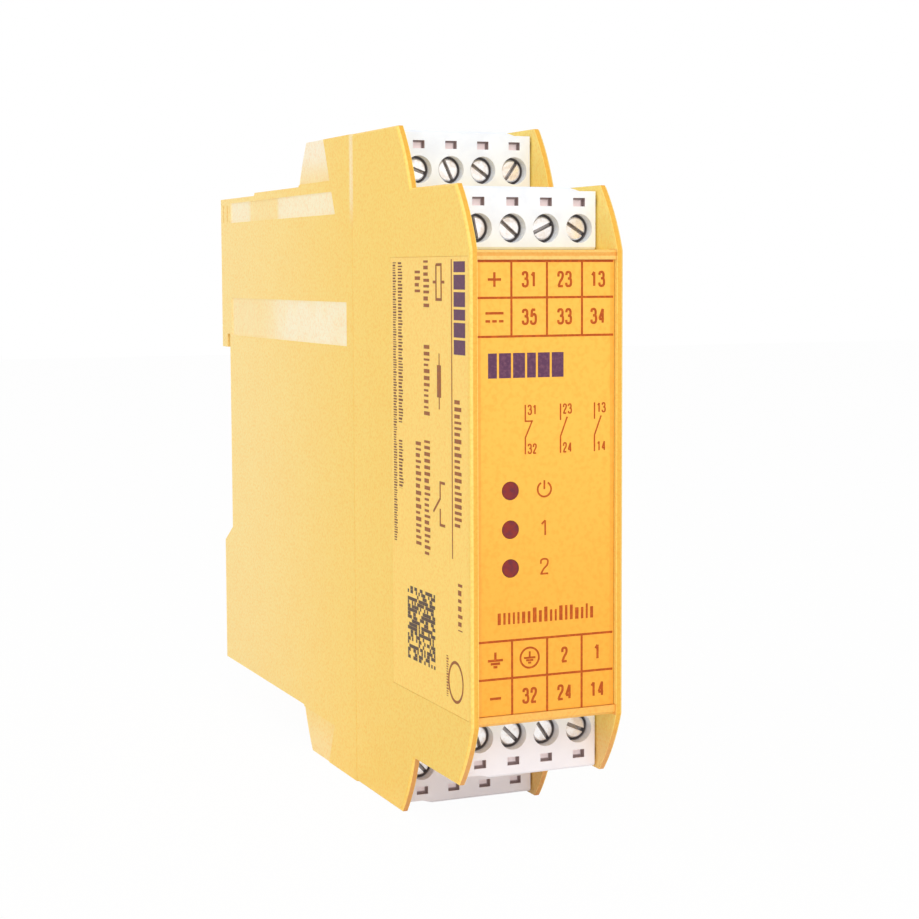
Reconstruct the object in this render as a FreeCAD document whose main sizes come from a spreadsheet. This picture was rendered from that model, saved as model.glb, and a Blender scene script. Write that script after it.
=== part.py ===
"""Safety relay in a 22.5 mm rail housing, with four plug-in screw terminals.

Frame: origin at the middle of the rail seat. +X is to the right, -Y is the front, +Z is up.
Depths are counted from the front edges of the side plates, and the rail seat is at Y = 0.
"""
import FreeCAD
import Part
import Sketcher
import os

POLES = 4
TURN_TO_BOTTOM = 180
VENT_SLOTS = 6
FOOT_SLITS = 2
WIRE_SIDES = 4
CRIMP_SHARE = 0.15
CRIMP_NARROWING = 0.9
CHIP_LEGS = 8
SCREW_SLOT_ANGLES = {
    "top_rear": (-20, -65, -35, 55),
    "top_front": (-78, -40, 25, -32),
    "bottom_front": (-72, -45, -56, -24),
    "bottom_rear": (-48, 30, -62, 12),
}

DRIVING_SIZES = [
    ("width", 22.5, "across both side plates"),
    ("height", 99.0, "between the tips of the wings"),
    ("seat_depth", 109.7, "front edge of the side plates to the rail seat"),
    ("foot_reach", 4.8, "feet behind the rail seat"),
    ("rear_level", 9.0, "height of the rear row of plugs under the wing's edge"),
    ("front_level", 8.8, "height of the front row of plugs"),
    ("step_front", 5.0, "depth at which the plates' shoulders start"),
    ("step_depth", 21.0, "depth of one row of plugs"),
    ("seam_margin", 2.5, "rear row's wall to the seam of the two shells"),
    ("wing_tail", 21.5, "seam to the wing's rear corner"),
    ("wing_slope", 3.8, "depth of the wing's rear slope"),
    ("wing_rise", 6.9, "wing above the back of the shell"),
    ("edge_swell", 0.45, "swell of the plates' sloped edges"),
    ("back_drop", 0.5, "step in the shell's back part"),
    ("back_drop_depth", 16.0, "step ahead of the rail seat"),
    ("plate_wall", 1.0, "side plates of the front shell"),
    ("shell_wall", 1.4, "other walls"),
    ("seat_wall", 1.5, "wall behind the rail seat"),
    ("face_recess", 0.9, "front wall behind the plates' edges"),
    ("face_wall", 1.6, "front wall"),
    ("ledge_height", 1.3, "bevelled ledges above and below the front label"),
    ("ledge_reach", 0.5, "ledges ahead of the front wall"),
    ("front_film", 0.25, "thickness of the front label"),
    ("side_film", 0.12, "thickness of the side label"),
    ("side_film_depth", 28.0, "side label along the depth"),
    ("film_margin", 0.8, "bare edge round the side label"),
    ("fixed_gap", 0.1, "clearance between fixed pieces"),
    ("slide_gap", 0.15, "clearance beside sliding pieces"),
    ("rail_width", 35.0, "mounting rail across its flanges"),
    ("rail_flange", 1.0, "mounting rail's sheet"),
    ("rail_play", 0.4, "rail groove beyond the rail's width"),
    ("hook_cover", 2.4, "hook over the upper flange"),
    ("hook_slot", 1.6, "slot behind the hook"),
    ("lead_in", 2.9, "slope under the lower flange"),
    ("plug_height", 8.4, "terminal plug"),
    ("plug_setback", 0.9, "plug's front face behind the shoulder"),
    ("plug_back_gap", 0.2, "plug to the row's wall"),
    ("plug_side_gap", 0.25, "clearance on each side of a plug"),
    ("plug_bevel", 0.3, "bevelled front edges of a plug"),
    ("shoulder_drop", 0.5, "plug's low end"),
    ("shoulder_width", 2.5, "plug's low end"),
    ("shoulder_ramp", 1.6, "ramp down to the plug's low end"),
    ("pole_wall", 0.8, "wall between two chambers"),
    ("well_diameter", 3.95, "well of a terminal screw"),
    ("well_depth", 2.75, "well of a terminal screw"),
    ("screw_rise", 2.95, "screw axis above the bay's floor"),
    ("screw_head", 3.15, "diameter of the head"),
    ("head_setback", 1.25, "head behind the plug's face"),
    ("head_length", 1.4, "length of the head"),
    ("slot_width", 0.55, "driver slot"),
    ("slot_depth", 0.9, "driver slot"),
    ("thread_diameter", 2.4, "terminal screw"),
    ("pocket_rise", 6.5, "marker pocket above the bay's floor"),
    ("pocket_width", 1.8, "marker pocket"),
    ("pocket_height", 1.15, "marker pocket"),
    ("pocket_depth", 0.9, "marker pocket"),
    ("chamber_floor", 0.85, "chamber above the bay's floor"),
    ("chamber_height", 4.15, "chamber"),
    ("bar_depth", 7.2, "current bar behind the plug's face"),
    ("bar_sheet", 0.7, "thickness of the current bar"),
    ("cage_travel", 2.25, "way of a clamping cage"),
    ("cage_wall", 0.45, "sides of a cage"),
    ("cage_front", 0.9, "threaded side of a cage"),
    ("cage_back", 0.7, "clamping side of a cage"),
    ("cage_floor", 1.6, "cage above the bay's floor"),
    ("cage_height", 3.0, "cage"),
    ("wire_gap", 2.4, "room for a wire behind the bar"),
    ("fork_setback", 3.3, "contact arms ahead of the plug's back"),
    ("fork_length", 3.0, "contact arms"),
    ("fork_sheet", 0.42, "contact arms"),
    ("pin_size", 0.8, "square pins of the headers"),
    ("pin_rise", 2.8, "pins above the bay's floor"),
    ("pin_reach", 3.2, "pins ahead of the row's wall"),
    ("header_length", 7.0, "header along the depth"),
    ("tail_gap", 0.25, "board's holes round the tails of the pins"),
    ("tail_pitch", 1.9, "between the tails of neighbouring pins"),
    ("board_sheet", 1.6, "circuit board"),
    ("board_gap", 0.15, "board to the left wall"),
    ("board_margin", 0.6, "board's edge to the shell"),
    ("lamp_diameter", 2.4, "light guides"),
    ("lamp_offset", 5.3, "light guides left of the middle"),
    ("lamp_first", -0.2, "height of the upper light guide"),
    ("lamp_pitch", 5.2, "between the light guides"),
    ("lamp_length", 5.4, "light guide"),
    ("relay_depth", 13.0, "switching relay"),
    ("relay_length", 40.0, "switching relay"),
    ("relay_height", 16.0, "switching relay above the board"),
    ("relay_place", 10.5, "first relay behind the seam"),
    ("relay_pitch", 17.0, "between the two relays"),
    ("latch_width", 8.1, "rail latch"),
    ("latch_neck", 5.7, "nose and back of the rail latch"),
    ("latch_sheet", 3.4, "rail latch without its back"),
    ("latch_margin", 0.8, "nose past the rail when the latch is drawn"),
    ("latch_travel", 3.0, "way of the rail latch"),
    ("spring_diameter", 2.4, "latch spring outside"),
    ("spring_wire", 0.35, "latch spring"),
    ("spring_length", 7.0, "latch spring, seated"),
    ("spring_turns", 5.0, "latch spring"),
    ("vent_width", 1.6, "ventilation slots"),
    ("vent_pitch", 3.4, "ventilation slots"),
    ("vent_length", 14.0, "ventilation slots"),
    ("band_recess", 0.15, "smooth bands on the shell's sides"),
    ("ledge_bevel", 0.4, "bevel of the ledges"),
    ("header_floor", 0.9, "header's window above the bay's floor"),
    ("header_height", 4.0, "header's window"),
    ("header_inset", 0.85, "header's window to the plate"),
    ("header_flange", 0.4, "header's flange round its boss"),
    ("tail_start", 1.8, "first pin's tail behind the header"),
    ("tongue_root", 0.9, "seam tongues, inside the front shell"),
    ("tongue_sheet", 0.8, "seam tongues"),
    ("tongue_reach", 2.3, "seam tongues, inside the rear shell"),
    ("tongue_nib", 0.5, "seam tongues' snap"),
    ("tongue_width", 9.0, "seam tongues"),
    ("window_setback", 1.0, "snap windows behind the seam"),
    ("window_length", 1.4, "snap windows"),
    ("plate_bevel", 0.3, "bevelled rims of the side plates"),
    ("guide_collar", 0.5, "thicker back of a light guide, round its front"),
    ("funnel_rim", 0.45, "rim of a wire entry"),
    ("leg_sheet", 0.5, "contact's leg under the cage"),
    ("bar_top", 7.3, "current bar's end above the bay's floor"),
    ("contact_gap", 0.03, "between pins and what grips them"),
    ("thread_gap", 0.05, "between a screw and its cage"),
    ("seat_gap", 0.05, "between the board and what sits on it"),
    ("relay_base", 3.0, "base of a switching relay"),
    ("relay_bevel", 0.6, "cover of a switching relay"),
    ("latch_slack", 0.1, "latch under its stop"),
    ("latch_tail", 0.4, "latch's end above the shell's underside"),
    ("latch_back", 4.4, "back of the latch behind the rail seat"),
    ("nose_flat", 1.0, "flat top of the latch's nose"),
    ("nose_slope", 4.2, "height of the nose's slope"),
    ("notch_height", 5.0, "driver's notch at the latch"),
    ("driver_hole", 1.6, "height of the latch's driver hole"),
    ("lug_height", 1.2, "lug under the latch spring"),
    ("lug_deep", 2.7, "lug under the latch spring"),
    ("spring_seat", 1.5, "latch spring under the latch's stop"),
    ("vent_start", 3.0, "first ventilation slot behind the wing"),
    ("band_start", 3.0, "seam to the lower smooth band"),
    ("band_margin", 1.4, "smooth bands to the rail seat"),
    ("band_low", 17.6, "lower smooth band"),
    ("band_height", 6.6, "lower smooth band"),
    ("band_top_gap", 1.4, "upper smooth band under the shell's top"),
    ("band_top_height", 3.4, "upper smooth band"),
    ("pad_start", 13.0, "seam to the smooth pad at the wing's tip"),
    ("pad_lean", 0.44, "forward lean of the pads' front edge, for each mm down"),
    ("pad_rise", 0.3, "wing's smooth pad above the back of the shell"),
    ("seam_bevel", 0.2, "bevel of the rear shell along the seam"),
    ("slit_width", 0.35, "slits beside the upper foot"),
    ("slit_pitch", 2.4, "slits beside the upper foot"),
    ("slit_first", 0.6, "first slit behind the rail seat"),
    ("slit_length", 3.0, "slits beside the upper foot"),
    ("slit_drop", 1.7, "slits under the shell's top"),
    ("slit_depth", 0.4, "slits beside the upper foot"),
    ("lamp_body", 2.8, "signal lamp on the board"),
    ("lamp_gap", 0.15, "between a light guide and its lamp"),
    ("can_diameter", 8.0, "smoothing capacitor"),
    ("can_length", 11.5, "smoothing capacitor"),
    ("can_pitch", 9.2, "between the capacitors"),
    ("can_drop", 8.0, "upper capacitor under the front row's floor"),
    ("supply_depth", 27.0, "supply parts behind the plates' edges"),
    ("coil_width", 12.0, "transformer along the depth"),
    ("coil_length", 15.0, "transformer"),
    ("coil_height", 11.0, "transformer above the board"),
    ("coil_gap", 3.0, "transformer under the lower capacitor"),
    ("chip_depth", 10.0, "controllers behind the plates' edges"),
    ("chip_width", 7.5, "controller along the depth"),
    ("chip_length", 10.4, "controller"),
    ("chip_thick", 1.8, "controller"),
    ("chip_first", 13.5, "controllers above and below the middle"),
    ("fuse_length", 10.0, "fuse"),
    ("fuse_diameter", 4.0, "fuse"),
    ("fuse_drop", 21.0, "fuse under the middle"),
]


class Size:
    """A length with its number and the sheet expression that gives it."""

    def __init__(self, value, text):
        self.value = float(value)
        self.text = text

    def __add__(self, other):
        other = as_size(other)
        return Size(self.value + other.value, f"({self.text} + {other.text})")

    def __sub__(self, other):
        other = as_size(other)
        return Size(self.value - other.value, f"({self.text} - {other.text})")

    def __mul__(self, other):
        other = as_size(other)
        return Size(self.value * other.value, f"({self.text} * {other.text})")

    def __truediv__(self, other):
        other = as_size(other)
        return Size(self.value / other.value, f"({self.text} / {other.text})")

    def __neg__(self):
        return Size(-self.value, f"(0 - {self.text})")

    def __rsub__(self, other):
        return as_size(other) - self

    __radd__ = __add__
    __rmul__ = __mul__


def as_size(thing):
    if isinstance(thing, Size):
        return thing
    return Size(thing, f"{float(thing):.6g}")


class Cells:
    """The driving sizes, each under its alias."""


doc = FreeCAD.newDocument("SafetyRelay")
sheet = doc.addObject("Spreadsheet::Sheet", "Sizes")
at = Cells()
for row, (alias, number, meaning) in enumerate(DRIVING_SIZES, 1):
    sheet.set(f"A{row}", meaning)
    sheet.set(f"B{row}", str(number))
    sheet.setAlias(f"B{row}", alias)
    setattr(at, alias, Size(number, f"Sizes.{alias}"))
doc.recompute()

# ---------------------------------------------------------------- places worked out from the sheet

half_width = at.width / 2
half_height = at.height / 2
step_height = half_height - at.rear_level
corner_height = step_height - at.front_level
back_height = half_height - at.wing_rise
wing_front = at.step_front + at.step_depth
rear_wall_depth = at.step_depth * 2
seam_depth = rear_wall_depth + at.seam_margin
wing_rear = seam_depth + at.wing_tail
wing_foot = wing_rear + at.wing_slope
bay_half = half_width - at.plate_wall
room_half = half_width - at.shell_wall
plug_half = bay_half - at.plug_side_gap
pitch = plug_half / 2
chamber_half = (pitch - at.pole_wall) / 2
cage_half = chamber_half - at.slide_gap
bar_half = cage_half - at.cage_wall - at.fixed_gap
plug_length = at.step_depth - at.step_front - at.plug_setback - at.plug_back_gap
fork_start = plug_length - at.fork_setback
groove_top = (at.rail_width + at.rail_play) / 2
board_left = -(room_half - at.board_gap)
board_right = board_left + at.board_sheet
header_half = bay_half - at.header_inset
row_wall = plug_length + at.plug_back_gap
bar_back = at.bar_depth + at.bar_sheet
cage_start = at.bar_depth - at.slide_gap - at.cage_front
chamber_front = cage_start - at.cage_travel - at.slide_gap
channel_half = at.latch_width / 2 + at.slide_gap
slot_half = at.latch_neck / 2 + at.slide_gap
channel_deep = at.latch_sheet + at.slide_gap * 2
latch_stop = groove_top + at.lead_in
latch_end = back_height - at.latch_tail
latch_cover = at.latch_travel - at.latch_margin
spring_top = latch_stop + at.latch_slack + at.spring_seat
spring_low = spring_top + at.spring_length
lug_half = at.spring_diameter / 2


def y_at(depth):
    """Y of a depth that is counted from the plates' front edges."""
    return depth - at.seat_depth


# ---------------------------------------------------------------- modelling helpers

NORMAL_SIGN = {"XY_Plane": 1, "YZ_Plane": 1, "XZ_Plane": -1}


def bind(feature, name, length):
    feature.setExpression(name, as_size(length).text)


def new_body(label):
    body = doc.addObject("PartDesign::Body", label)
    body.Label = label
    return body


def origin_plane(body, role):
    return [item for item in body.Origin.OriginFeatures if item.Role == role][0]


def pin_point(sketch, geometry, position, across, up):
    """Fix one point of a sketch to two sizes, counted from the sketch's origin."""
    for kind, axis, length in (("DistanceX", -2, across), ("DistanceY", -1, up)):
        length = as_size(length)
        if length.text in ("0", "-0"):
            sketch.addConstraint(Sketcher.Constraint("PointOnObject", geometry, position, axis))
            continue
        number = sketch.addConstraint(
            Sketcher.Constraint(kind, -1, 1, geometry, position, length.value))
        sketch.setExpression(f"Constraints[{number}]", length.text)


def add_loop(sketch, corners):
    """Closed loop of lines. A corner (across, up, swell) starts an arc that swells to the left."""
    first = sketch.GeometryCount
    count = len(corners)
    points = [FreeCAD.Vector(as_size(c[0]).value, as_size(c[1]).value, 0) for c in corners]
    ends = []
    for index, corner in enumerate(corners):
        start = points[index]
        end = points[(index + 1) % count]
        swell = as_size(corner[2]).value if len(corner) > 2 else 0
        if swell:
            chord = end - start
            left = FreeCAD.Vector(-chord.y, chord.x, 0).normalize()
            middle = (start + end) * 0.5 + left * swell
            sketch.addGeometry(Part.Arc(start, middle, end), False)
            radius = (chord.Length ** 2 / 4 + swell ** 2) / (2 * abs(swell))
            sketch.addConstraint(Sketcher.Constraint("Radius", first + index, radius))
            ends.append((2, 1) if swell > 0 else (1, 2))
        else:
            sketch.addGeometry(Part.LineSegment(start, end), False)
            ends.append((1, 2))
    for index, corner in enumerate(corners):
        following = (index + 1) % count
        sketch.addConstraint(Sketcher.Constraint(
            "Coincident", first + index, ends[index][1], first + following, ends[following][0]))
        pin_point(sketch, first + index, ends[index][0], corner[0], corner[1])


def add_circle(sketch, across, up, diameter):
    centre = FreeCAD.Vector(as_size(across).value, as_size(up).value, 0)
    radius = as_size(diameter) / 2
    geometry = sketch.addGeometry(Part.Circle(centre, FreeCAD.Vector(0, 0, 1), radius.value), False)
    number = sketch.addConstraint(Sketcher.Constraint("Radius", geometry, radius.value))
    sketch.setExpression(f"Constraints[{number}]", radius.text)
    pin_point(sketch, geometry, 3, across, up)


def draw(body, name, role, offset, loops):
    """Sketch on one of the body's origin planes. A loop is a list of corners or a circle."""
    sketch = body.newObject("Sketcher::SketchObject", name)
    sketch.AttachmentSupport = [(origin_plane(body, role), "")]
    sketch.MapMode = "FlatFace"
    bind(sketch, "AttachmentOffset.Base.z", offset)
    for loop in loops:
        if loop[0] == "circle":
            add_circle(sketch, *loop[1:])
        else:
            add_loop(sketch, loop)
    return sketch


def add_prism(body, name, role, low, high, loops):
    """Material between two heights over a plane: X for YZ, Y for XZ and Z for XY."""
    low, high = as_size(low), as_size(high)
    offset = low if NORMAL_SIGN[role] > 0 else -high
    feature = body.newObject("PartDesign::Pad", name)
    feature.Profile = draw(body, name + "_sketch", role, offset, loops)
    bind(feature, "Length", high - low)
    return feature


def cut_prism(body, name, role, low, high, loops):
    """The same, taken away."""
    low, high = as_size(low), as_size(high)
    offset = high if NORMAL_SIGN[role] > 0 else -low
    feature = body.newObject("PartDesign::Pocket", name)
    feature.Profile = draw(body, name + "_sketch", role, offset, loops)
    bind(feature, "Length", high - low)
    return feature


def rectangle(left, right, bottom, top):
    return [(left, bottom), (right, bottom), (right, top), (left, top)]


def mirrored(corners):
    """Corners of a chain from the lower end to Z = 0 and its mirror image above, as one loop."""
    upper = []
    for index in range(len(corners) - 1, -1, -1):
        across, up = corners[index][:2]
        swell = corners[index - 1][2:] if index else ()
        upper.append((across, -as_size(up), *swell))
    return corners + upper


def place(thing, across, deep, up, turned=0):
    """Put a piece at its seat, turned about the depth axis by an angle in degrees."""
    thing.Placement = FreeCAD.Placement(
        FreeCAD.Vector(), FreeCAD.Rotation(FreeCAD.Vector(0, 1, 0), turned))
    for axis, length in (("x", across), ("y", deep), ("z", up)):
        bind(thing, f"Placement.Base.{axis}", length)


def bevel_edges(body, name, width, chosen):
    """Chamfer the edges of the body's last feature that a test on the edge picks out."""
    doc.recompute()
    base = body.Tip
    names = [f"Edge{i}" for i, edge in enumerate(base.Shape.Edges, 1) if chosen(edge)]
    feature = body.newObject("PartDesign::Chamfer", name)
    feature.Base = (base, names)
    bind(feature, "Size", width)
    return feature


def edge_middle(edge):
    return edge.valueAt((edge.FirstParameter + edge.LastParameter) / 2)


def pole_places():
    """X of each pole, from left to right."""
    return [pitch * (index - (POLES - 1) / 2) for index in range(POLES)]


# ---------------------------------------------------------------- housing

def slope(depth, up):
    """A corner whose next edge is one of the housing's swelled slopes."""
    return (y_at(depth), up, -at.edge_swell)


def front_shell():
    """Both side plates, the front wall, and the stepped bays of the plugs."""
    body = new_body("front_housing")
    upper = [
        (y_at(seam_depth), half_height),
        slope(wing_front, half_height),
        (y_at(at.step_depth), step_height),
        slope(at.step_front, step_height),
        (y_at(0), corner_height),
    ]
    lower = [
        slope(0, -corner_height),
        (y_at(at.step_front), -step_height),
        slope(at.step_depth, -step_height),
        (y_at(wing_front), -half_height),
        (y_at(seam_depth), -half_height),
    ]
    add_prism(body, "side_outline", "YZ_Plane", -half_width, half_width, [upper + lower])

    face = y_at(at.face_recess)
    ledge = face - at.ledge_reach
    ledge_edge = corner_height - at.ledge_height
    ahead = y_at(-1)
    beyond = half_height + 1
    bays = [
        (ahead, -beyond),
        (y_at(rear_wall_depth), -beyond),
        (y_at(rear_wall_depth), -step_height),
        (y_at(at.step_depth), -step_height),
        (y_at(at.step_depth), -corner_height),
        (ledge + at.ledge_bevel, -corner_height),
        (ledge, -(corner_height - at.ledge_bevel)),
        (ledge, -ledge_edge),
        (face, -ledge_edge),
    ]
    cut_prism(body, "plug_bays", "YZ_Plane", -bay_half, bay_half, [mirrored(bays)])

    room_front = face + at.face_wall
    room = [
        (room_front, -(corner_height - at.shell_wall)),
        (y_at(at.step_depth + at.shell_wall), -(corner_height - at.shell_wall)),
        (y_at(at.step_depth + at.shell_wall), -(step_height - at.shell_wall)),
        (y_at(rear_wall_depth + at.shell_wall), -(step_height - at.shell_wall)),
        (y_at(rear_wall_depth + at.shell_wall), -(half_height - at.shell_wall)),
        (y_at(seam_depth + 1), -(half_height - at.shell_wall)),
    ]
    cut_prism(body, "inner_room", "YZ_Plane", -bay_half, bay_half, [mirrored(room)])

    for row, floor, depth in (("front", corner_height, 0), ("rear", step_height, at.step_depth)):
        wall = at.step_depth + depth
        window_low = floor + at.header_floor
        window_high = window_low + at.header_height
        windows = [
            rectangle(-header_half, header_half, window_low, window_high),
            rectangle(-header_half, header_half, -window_high, -window_low),
        ]
        cut_prism(body, f"{row}_header_windows", "XZ_Plane",
                  y_at(wall - 1), y_at(wall + at.shell_wall + 1), windows)

    lamps = [("circle", -at.lamp_offset, height, at.lamp_diameter + at.fixed_gap)
             for height in lamp_heights()]
    cut_prism(body, "lamp_holes", "XZ_Plane", face - 1, room_front + 1, lamps)

    cut_prism(body, "side_film_recess", "YZ_Plane", -half_width - 1, -half_width + at.side_film,
              [side_film_outline(0)])

    tongue_top = half_height - at.shell_wall - at.fixed_gap
    tongue = [
        (y_at(seam_depth - at.tongue_root), half_height - at.shell_wall + at.fixed_gap),
        (y_at(seam_depth - at.tongue_root), tongue_top - at.tongue_sheet),
        (y_at(seam_depth + at.tongue_reach), tongue_top - at.tongue_sheet),
        (y_at(seam_depth + at.tongue_reach), tongue_top),
        (y_at(seam_depth + at.window_setback + at.tongue_nib), tongue_top + at.tongue_nib),
        (y_at(seam_depth + at.window_setback), tongue_top + at.tongue_nib),
        (y_at(seam_depth + at.window_setback), tongue_top),
        (y_at(seam_depth), tongue_top),
        (y_at(seam_depth), half_height - at.shell_wall + at.fixed_gap),
    ]
    below = [(across, -up) for across, up in tongue]
    add_prism(body, "seam_tongues", "YZ_Plane", -at.tongue_width / 2, at.tongue_width / 2, [tongue, below])
    bevel_edges(body, "plate_rims", at.plate_bevel, is_plate_rim)
    return body


def is_plate_rim(edge):
    """Rims of the two side plates ahead of the seam, on their outer faces."""
    middle = edge_middle(edge)
    outer = abs(abs(middle.x) - half_width.value) < 0.001
    ahead = middle.y < y_at(seam_depth).value - 0.01
    rim = abs(edge.BoundBox.XLength) < 0.001
    film = at.film_margin.value * 0.5
    front = middle.y < y_at(film).value
    low_plate = abs(middle.z) > corner_height.value
    return outer and ahead and rim and (front or low_plate)


def side_film_outline(gap):
    """Side label: a rectangle on the left plate, behind the plate's front edge."""
    reach = corner_height - at.film_margin - gap
    front = y_at(at.film_margin + gap)
    return rectangle(front, y_at(at.film_margin + at.side_film_depth - gap), -reach, reach)


def lamp_heights():
    return [at.lamp_first - at.lamp_pitch * index for index in range(3)]


def rear_shell():
    """The shell behind the seam, with the wings, the rail groove, its hook and the latch's channel."""
    body = new_body("rear_housing")
    rear = at.foot_reach
    hook_inner = groove_top - at.hook_cover
    drop = -at.back_drop_depth
    upper = [
        (drop, back_height),
        slope_back(wing_foot, back_height),
        (y_at(wing_rear), half_height),
        (y_at(seam_depth), half_height),
    ]
    lower = [
        (y_at(seam_depth), -half_height),
        slope_back(wing_rear, -half_height),
        (y_at(wing_foot), -back_height),
        (rear, -back_height),
        (rear, -(groove_top + at.lead_in)),
        (0, -groove_top),
        (0, groove_top),
        (at.hook_slot, groove_top),
        (at.hook_slot, hook_inner),
        (rear, hook_inner),
        (rear, back_height - at.back_drop),
        (drop + at.back_drop, back_height - at.back_drop),
    ]
    add_prism(body, "side_outline", "YZ_Plane", -half_width, half_width, [upper + lower])

    room_back = -at.seat_wall
    wall = at.shell_wall
    room = [
        (y_at(seam_depth - 1), -(half_height - wall)),
        (y_at(wing_rear) - wall, -(half_height - wall)),
        (y_at(wing_foot) - wall, -(back_height - wall)),
        (room_back, -(back_height - wall)),
    ]
    cut_prism(body, "inner_room", "YZ_Plane", -room_half, room_half, [mirrored(room)])

    core_low = groove_top + wall
    core_high = back_height - at.back_drop - wall
    rib_half = wall / 2
    cores = [
        rectangle(-room_half, -rib_half, core_low, core_high),
        rectangle(rib_half, room_half, core_low, core_high),
    ]
    cut_prism(body, "upper_foot_cores", "XZ_Plane", 0, rear + 1, cores)

    side_start = channel_half + wall
    low_core = groove_top + at.lead_in + wall
    low_end = back_height - wall
    low_cores = [
        rectangle(-room_half, -side_start, -low_end, -low_core),
        rectangle(side_start, room_half, -low_end, -low_core),
    ]
    cut_prism(body, "lower_foot_cores", "XZ_Plane", 0, rear + 1, low_cores)

    cut_prism(body, "latch_channel", "XZ_Plane", 0, channel_deep,
              [rectangle(-channel_half, channel_half, -back_height - 1, -latch_stop)])
    cut_prism(body, "latch_slot", "XZ_Plane", 0, rear + 1,
              [rectangle(-slot_half, slot_half, -back_height - 1, -groove_top + 1)])
    cut_prism(body, "driver_notch", "XZ_Plane", channel_deep - 1, rear + 1,
              [rectangle(-channel_half, channel_half, -back_height - 1, -(back_height - at.notch_height))])
    add_prism(body, "spring_lug", "XZ_Plane", -at.seat_wall / 2, at.lug_deep,
              [rectangle(-lug_half, lug_half, -(spring_low + at.lug_height), -spring_low)])

    slots = []
    start = y_at(wing_foot) + at.vent_start
    for index in range(VENT_SLOTS):
        front = start + at.vent_pitch * index
        slots.append(rectangle(-at.vent_length / 2, at.vent_length / 2, front, front + at.vent_width))
    cut_prism(body, "upper_vents", "XY_Plane", back_height - wall - 1, back_height + 1, slots)
    cut_prism(body, "lower_vents", "XY_Plane", -back_height - 1, -back_height + wall + 1, slots)

    window_half = at.tongue_width / 2 + at.fixed_gap
    window_front = y_at(seam_depth + at.window_setback)
    window = rectangle(-window_half, window_half, window_front - at.fixed_gap,
                       window_front + at.window_length)
    cut_prism(body, "upper_snap_window", "XY_Plane", half_height - wall - 1, half_height + 1, [window])
    cut_prism(body, "lower_snap_window", "XY_Plane", -half_height - 1, -half_height + wall + 1, [window])

    top_band = back_height - at.band_top_gap
    low_top_band = top_band - at.band_top_height
    upper_band = [
        (pad_edge(low_top_band), low_top_band),
        (-at.band_margin, low_top_band),
        (-at.band_margin, top_band),
        (pad_edge(top_band), top_band),
    ]
    lower_band = rectangle(y_at(seam_depth + at.band_start), -at.band_margin,
                           at.band_low, at.band_low + at.band_height)
    pad_low = back_height + at.pad_rise
    upper_pad = [
        (pad_edge(pad_low), pad_low),
        (y_at(wing_foot + 1), pad_low),
        (y_at(wing_rear + 1), half_height + 1),
        (pad_edge(half_height + 1), half_height + 1),
    ]
    lower_pad = [(deep, -up) for deep, up in upper_pad]
    slits = []
    slit_top = back_height - at.slit_drop
    for index in range(FOOT_SLITS):
        front = at.slit_first + at.slit_pitch * index
        slits.append(rectangle(front, front + at.slit_width, slit_top - at.slit_length, slit_top))
    for side in ("left", "right"):
        cut_side(body, f"{side}_pads", side, at.band_recess, [upper_band, lower_band, upper_pad, lower_pad])
        cut_side(body, f"{side}_slits", side, at.slit_depth, slits)
    bevel_edges(body, "seam_edges", at.seam_bevel, is_seam_edge)
    return body


def slope_back(depth, up):
    return (y_at(depth), up, -at.edge_swell / 2)


def pad_edge(up):
    """Y of the smooth pads' leaning front edge at a height."""
    return y_at(seam_depth + at.pad_start) - (half_height - up) * at.pad_lean


def cut_side(body, name, side, deep, loops):
    """Sink shapes into the shell's left or right side."""
    if side == "left":
        return cut_prism(body, name, "YZ_Plane", -half_width - 1, -half_width + deep, loops)
    return cut_prism(body, name, "YZ_Plane", half_width - deep, half_width + 1, loops)


def is_seam_edge(edge):
    """Upright edges of the rear shell's outer sides, along the seam."""
    middle = edge_middle(edge)
    outer = abs(abs(middle.x) - half_width.value) < 0.001
    at_seam = abs(middle.y - y_at(seam_depth).value) < 0.001
    return outer and at_seam and edge.BoundBox.ZLength > back_height.value


# ---------------------------------------------------------------- labels and light guides

def front_label():
    """Printed film between the two ledges, with three windows for the light guides."""
    body = new_body("front_label")
    face = y_at(at.face_recess)
    reach = corner_height - at.ledge_height - at.fixed_gap
    outline = rectangle(-(bay_half - at.fixed_gap), bay_half - at.fixed_gap, -reach, reach)
    lamps = [("circle", -at.lamp_offset, height, at.lamp_diameter + at.fixed_gap)
             for height in lamp_heights()]
    add_prism(body, "film", "XZ_Plane", face - at.front_film, face, [outline] + lamps)
    return body


def side_label():
    body = new_body("side_label")
    add_prism(body, "film", "YZ_Plane", -half_width, -half_width + at.side_film,
              [side_film_outline(at.fixed_gap / 2)])
    return body


def light_guides():
    """Three clear rods from the front label to the lamps, each thicker behind the wall."""
    rods = []
    front = y_at(at.face_recess) - at.front_film
    wall_back = y_at(at.face_recess) + at.face_wall + at.fixed_gap / 2
    for number, height in enumerate(lamp_heights(), 1):
        rod = new_body(f"light_guide_{number}")
        radius = at.lamp_diameter / 2
        collar = radius + at.guide_collar
        profile = [
            (0, 0),
            (radius, 0),
            (radius, wall_back - front),
            (collar, wall_back - front),
            (collar, at.lamp_length),
            (0, at.lamp_length),
        ]
        revolve(rod, "rod", profile)
        place(rod, -at.lamp_offset, front, height)
        rods.append(rod)
    return group("light_guides", rods)


def revolve(body, name, profile):
    """Turned part: a profile of (radius, length) turned about the body's own Y axis."""
    feature = body.newObject("PartDesign::Revolution", name)
    sketch = draw(body, name + "_sketch", "XY_Plane", 0, [profile])
    feature.Profile = sketch
    feature.ReferenceAxis = (sketch, ["V_Axis"])
    feature.Angle = 360
    return feature


def group(label, members):
    """Several separate solids that share one node."""
    compound = doc.addObject("Part::Compound", label)
    compound.Label = label
    compound.Links = members
    return compound


# ---------------------------------------------------------------- terminal plugs

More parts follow.
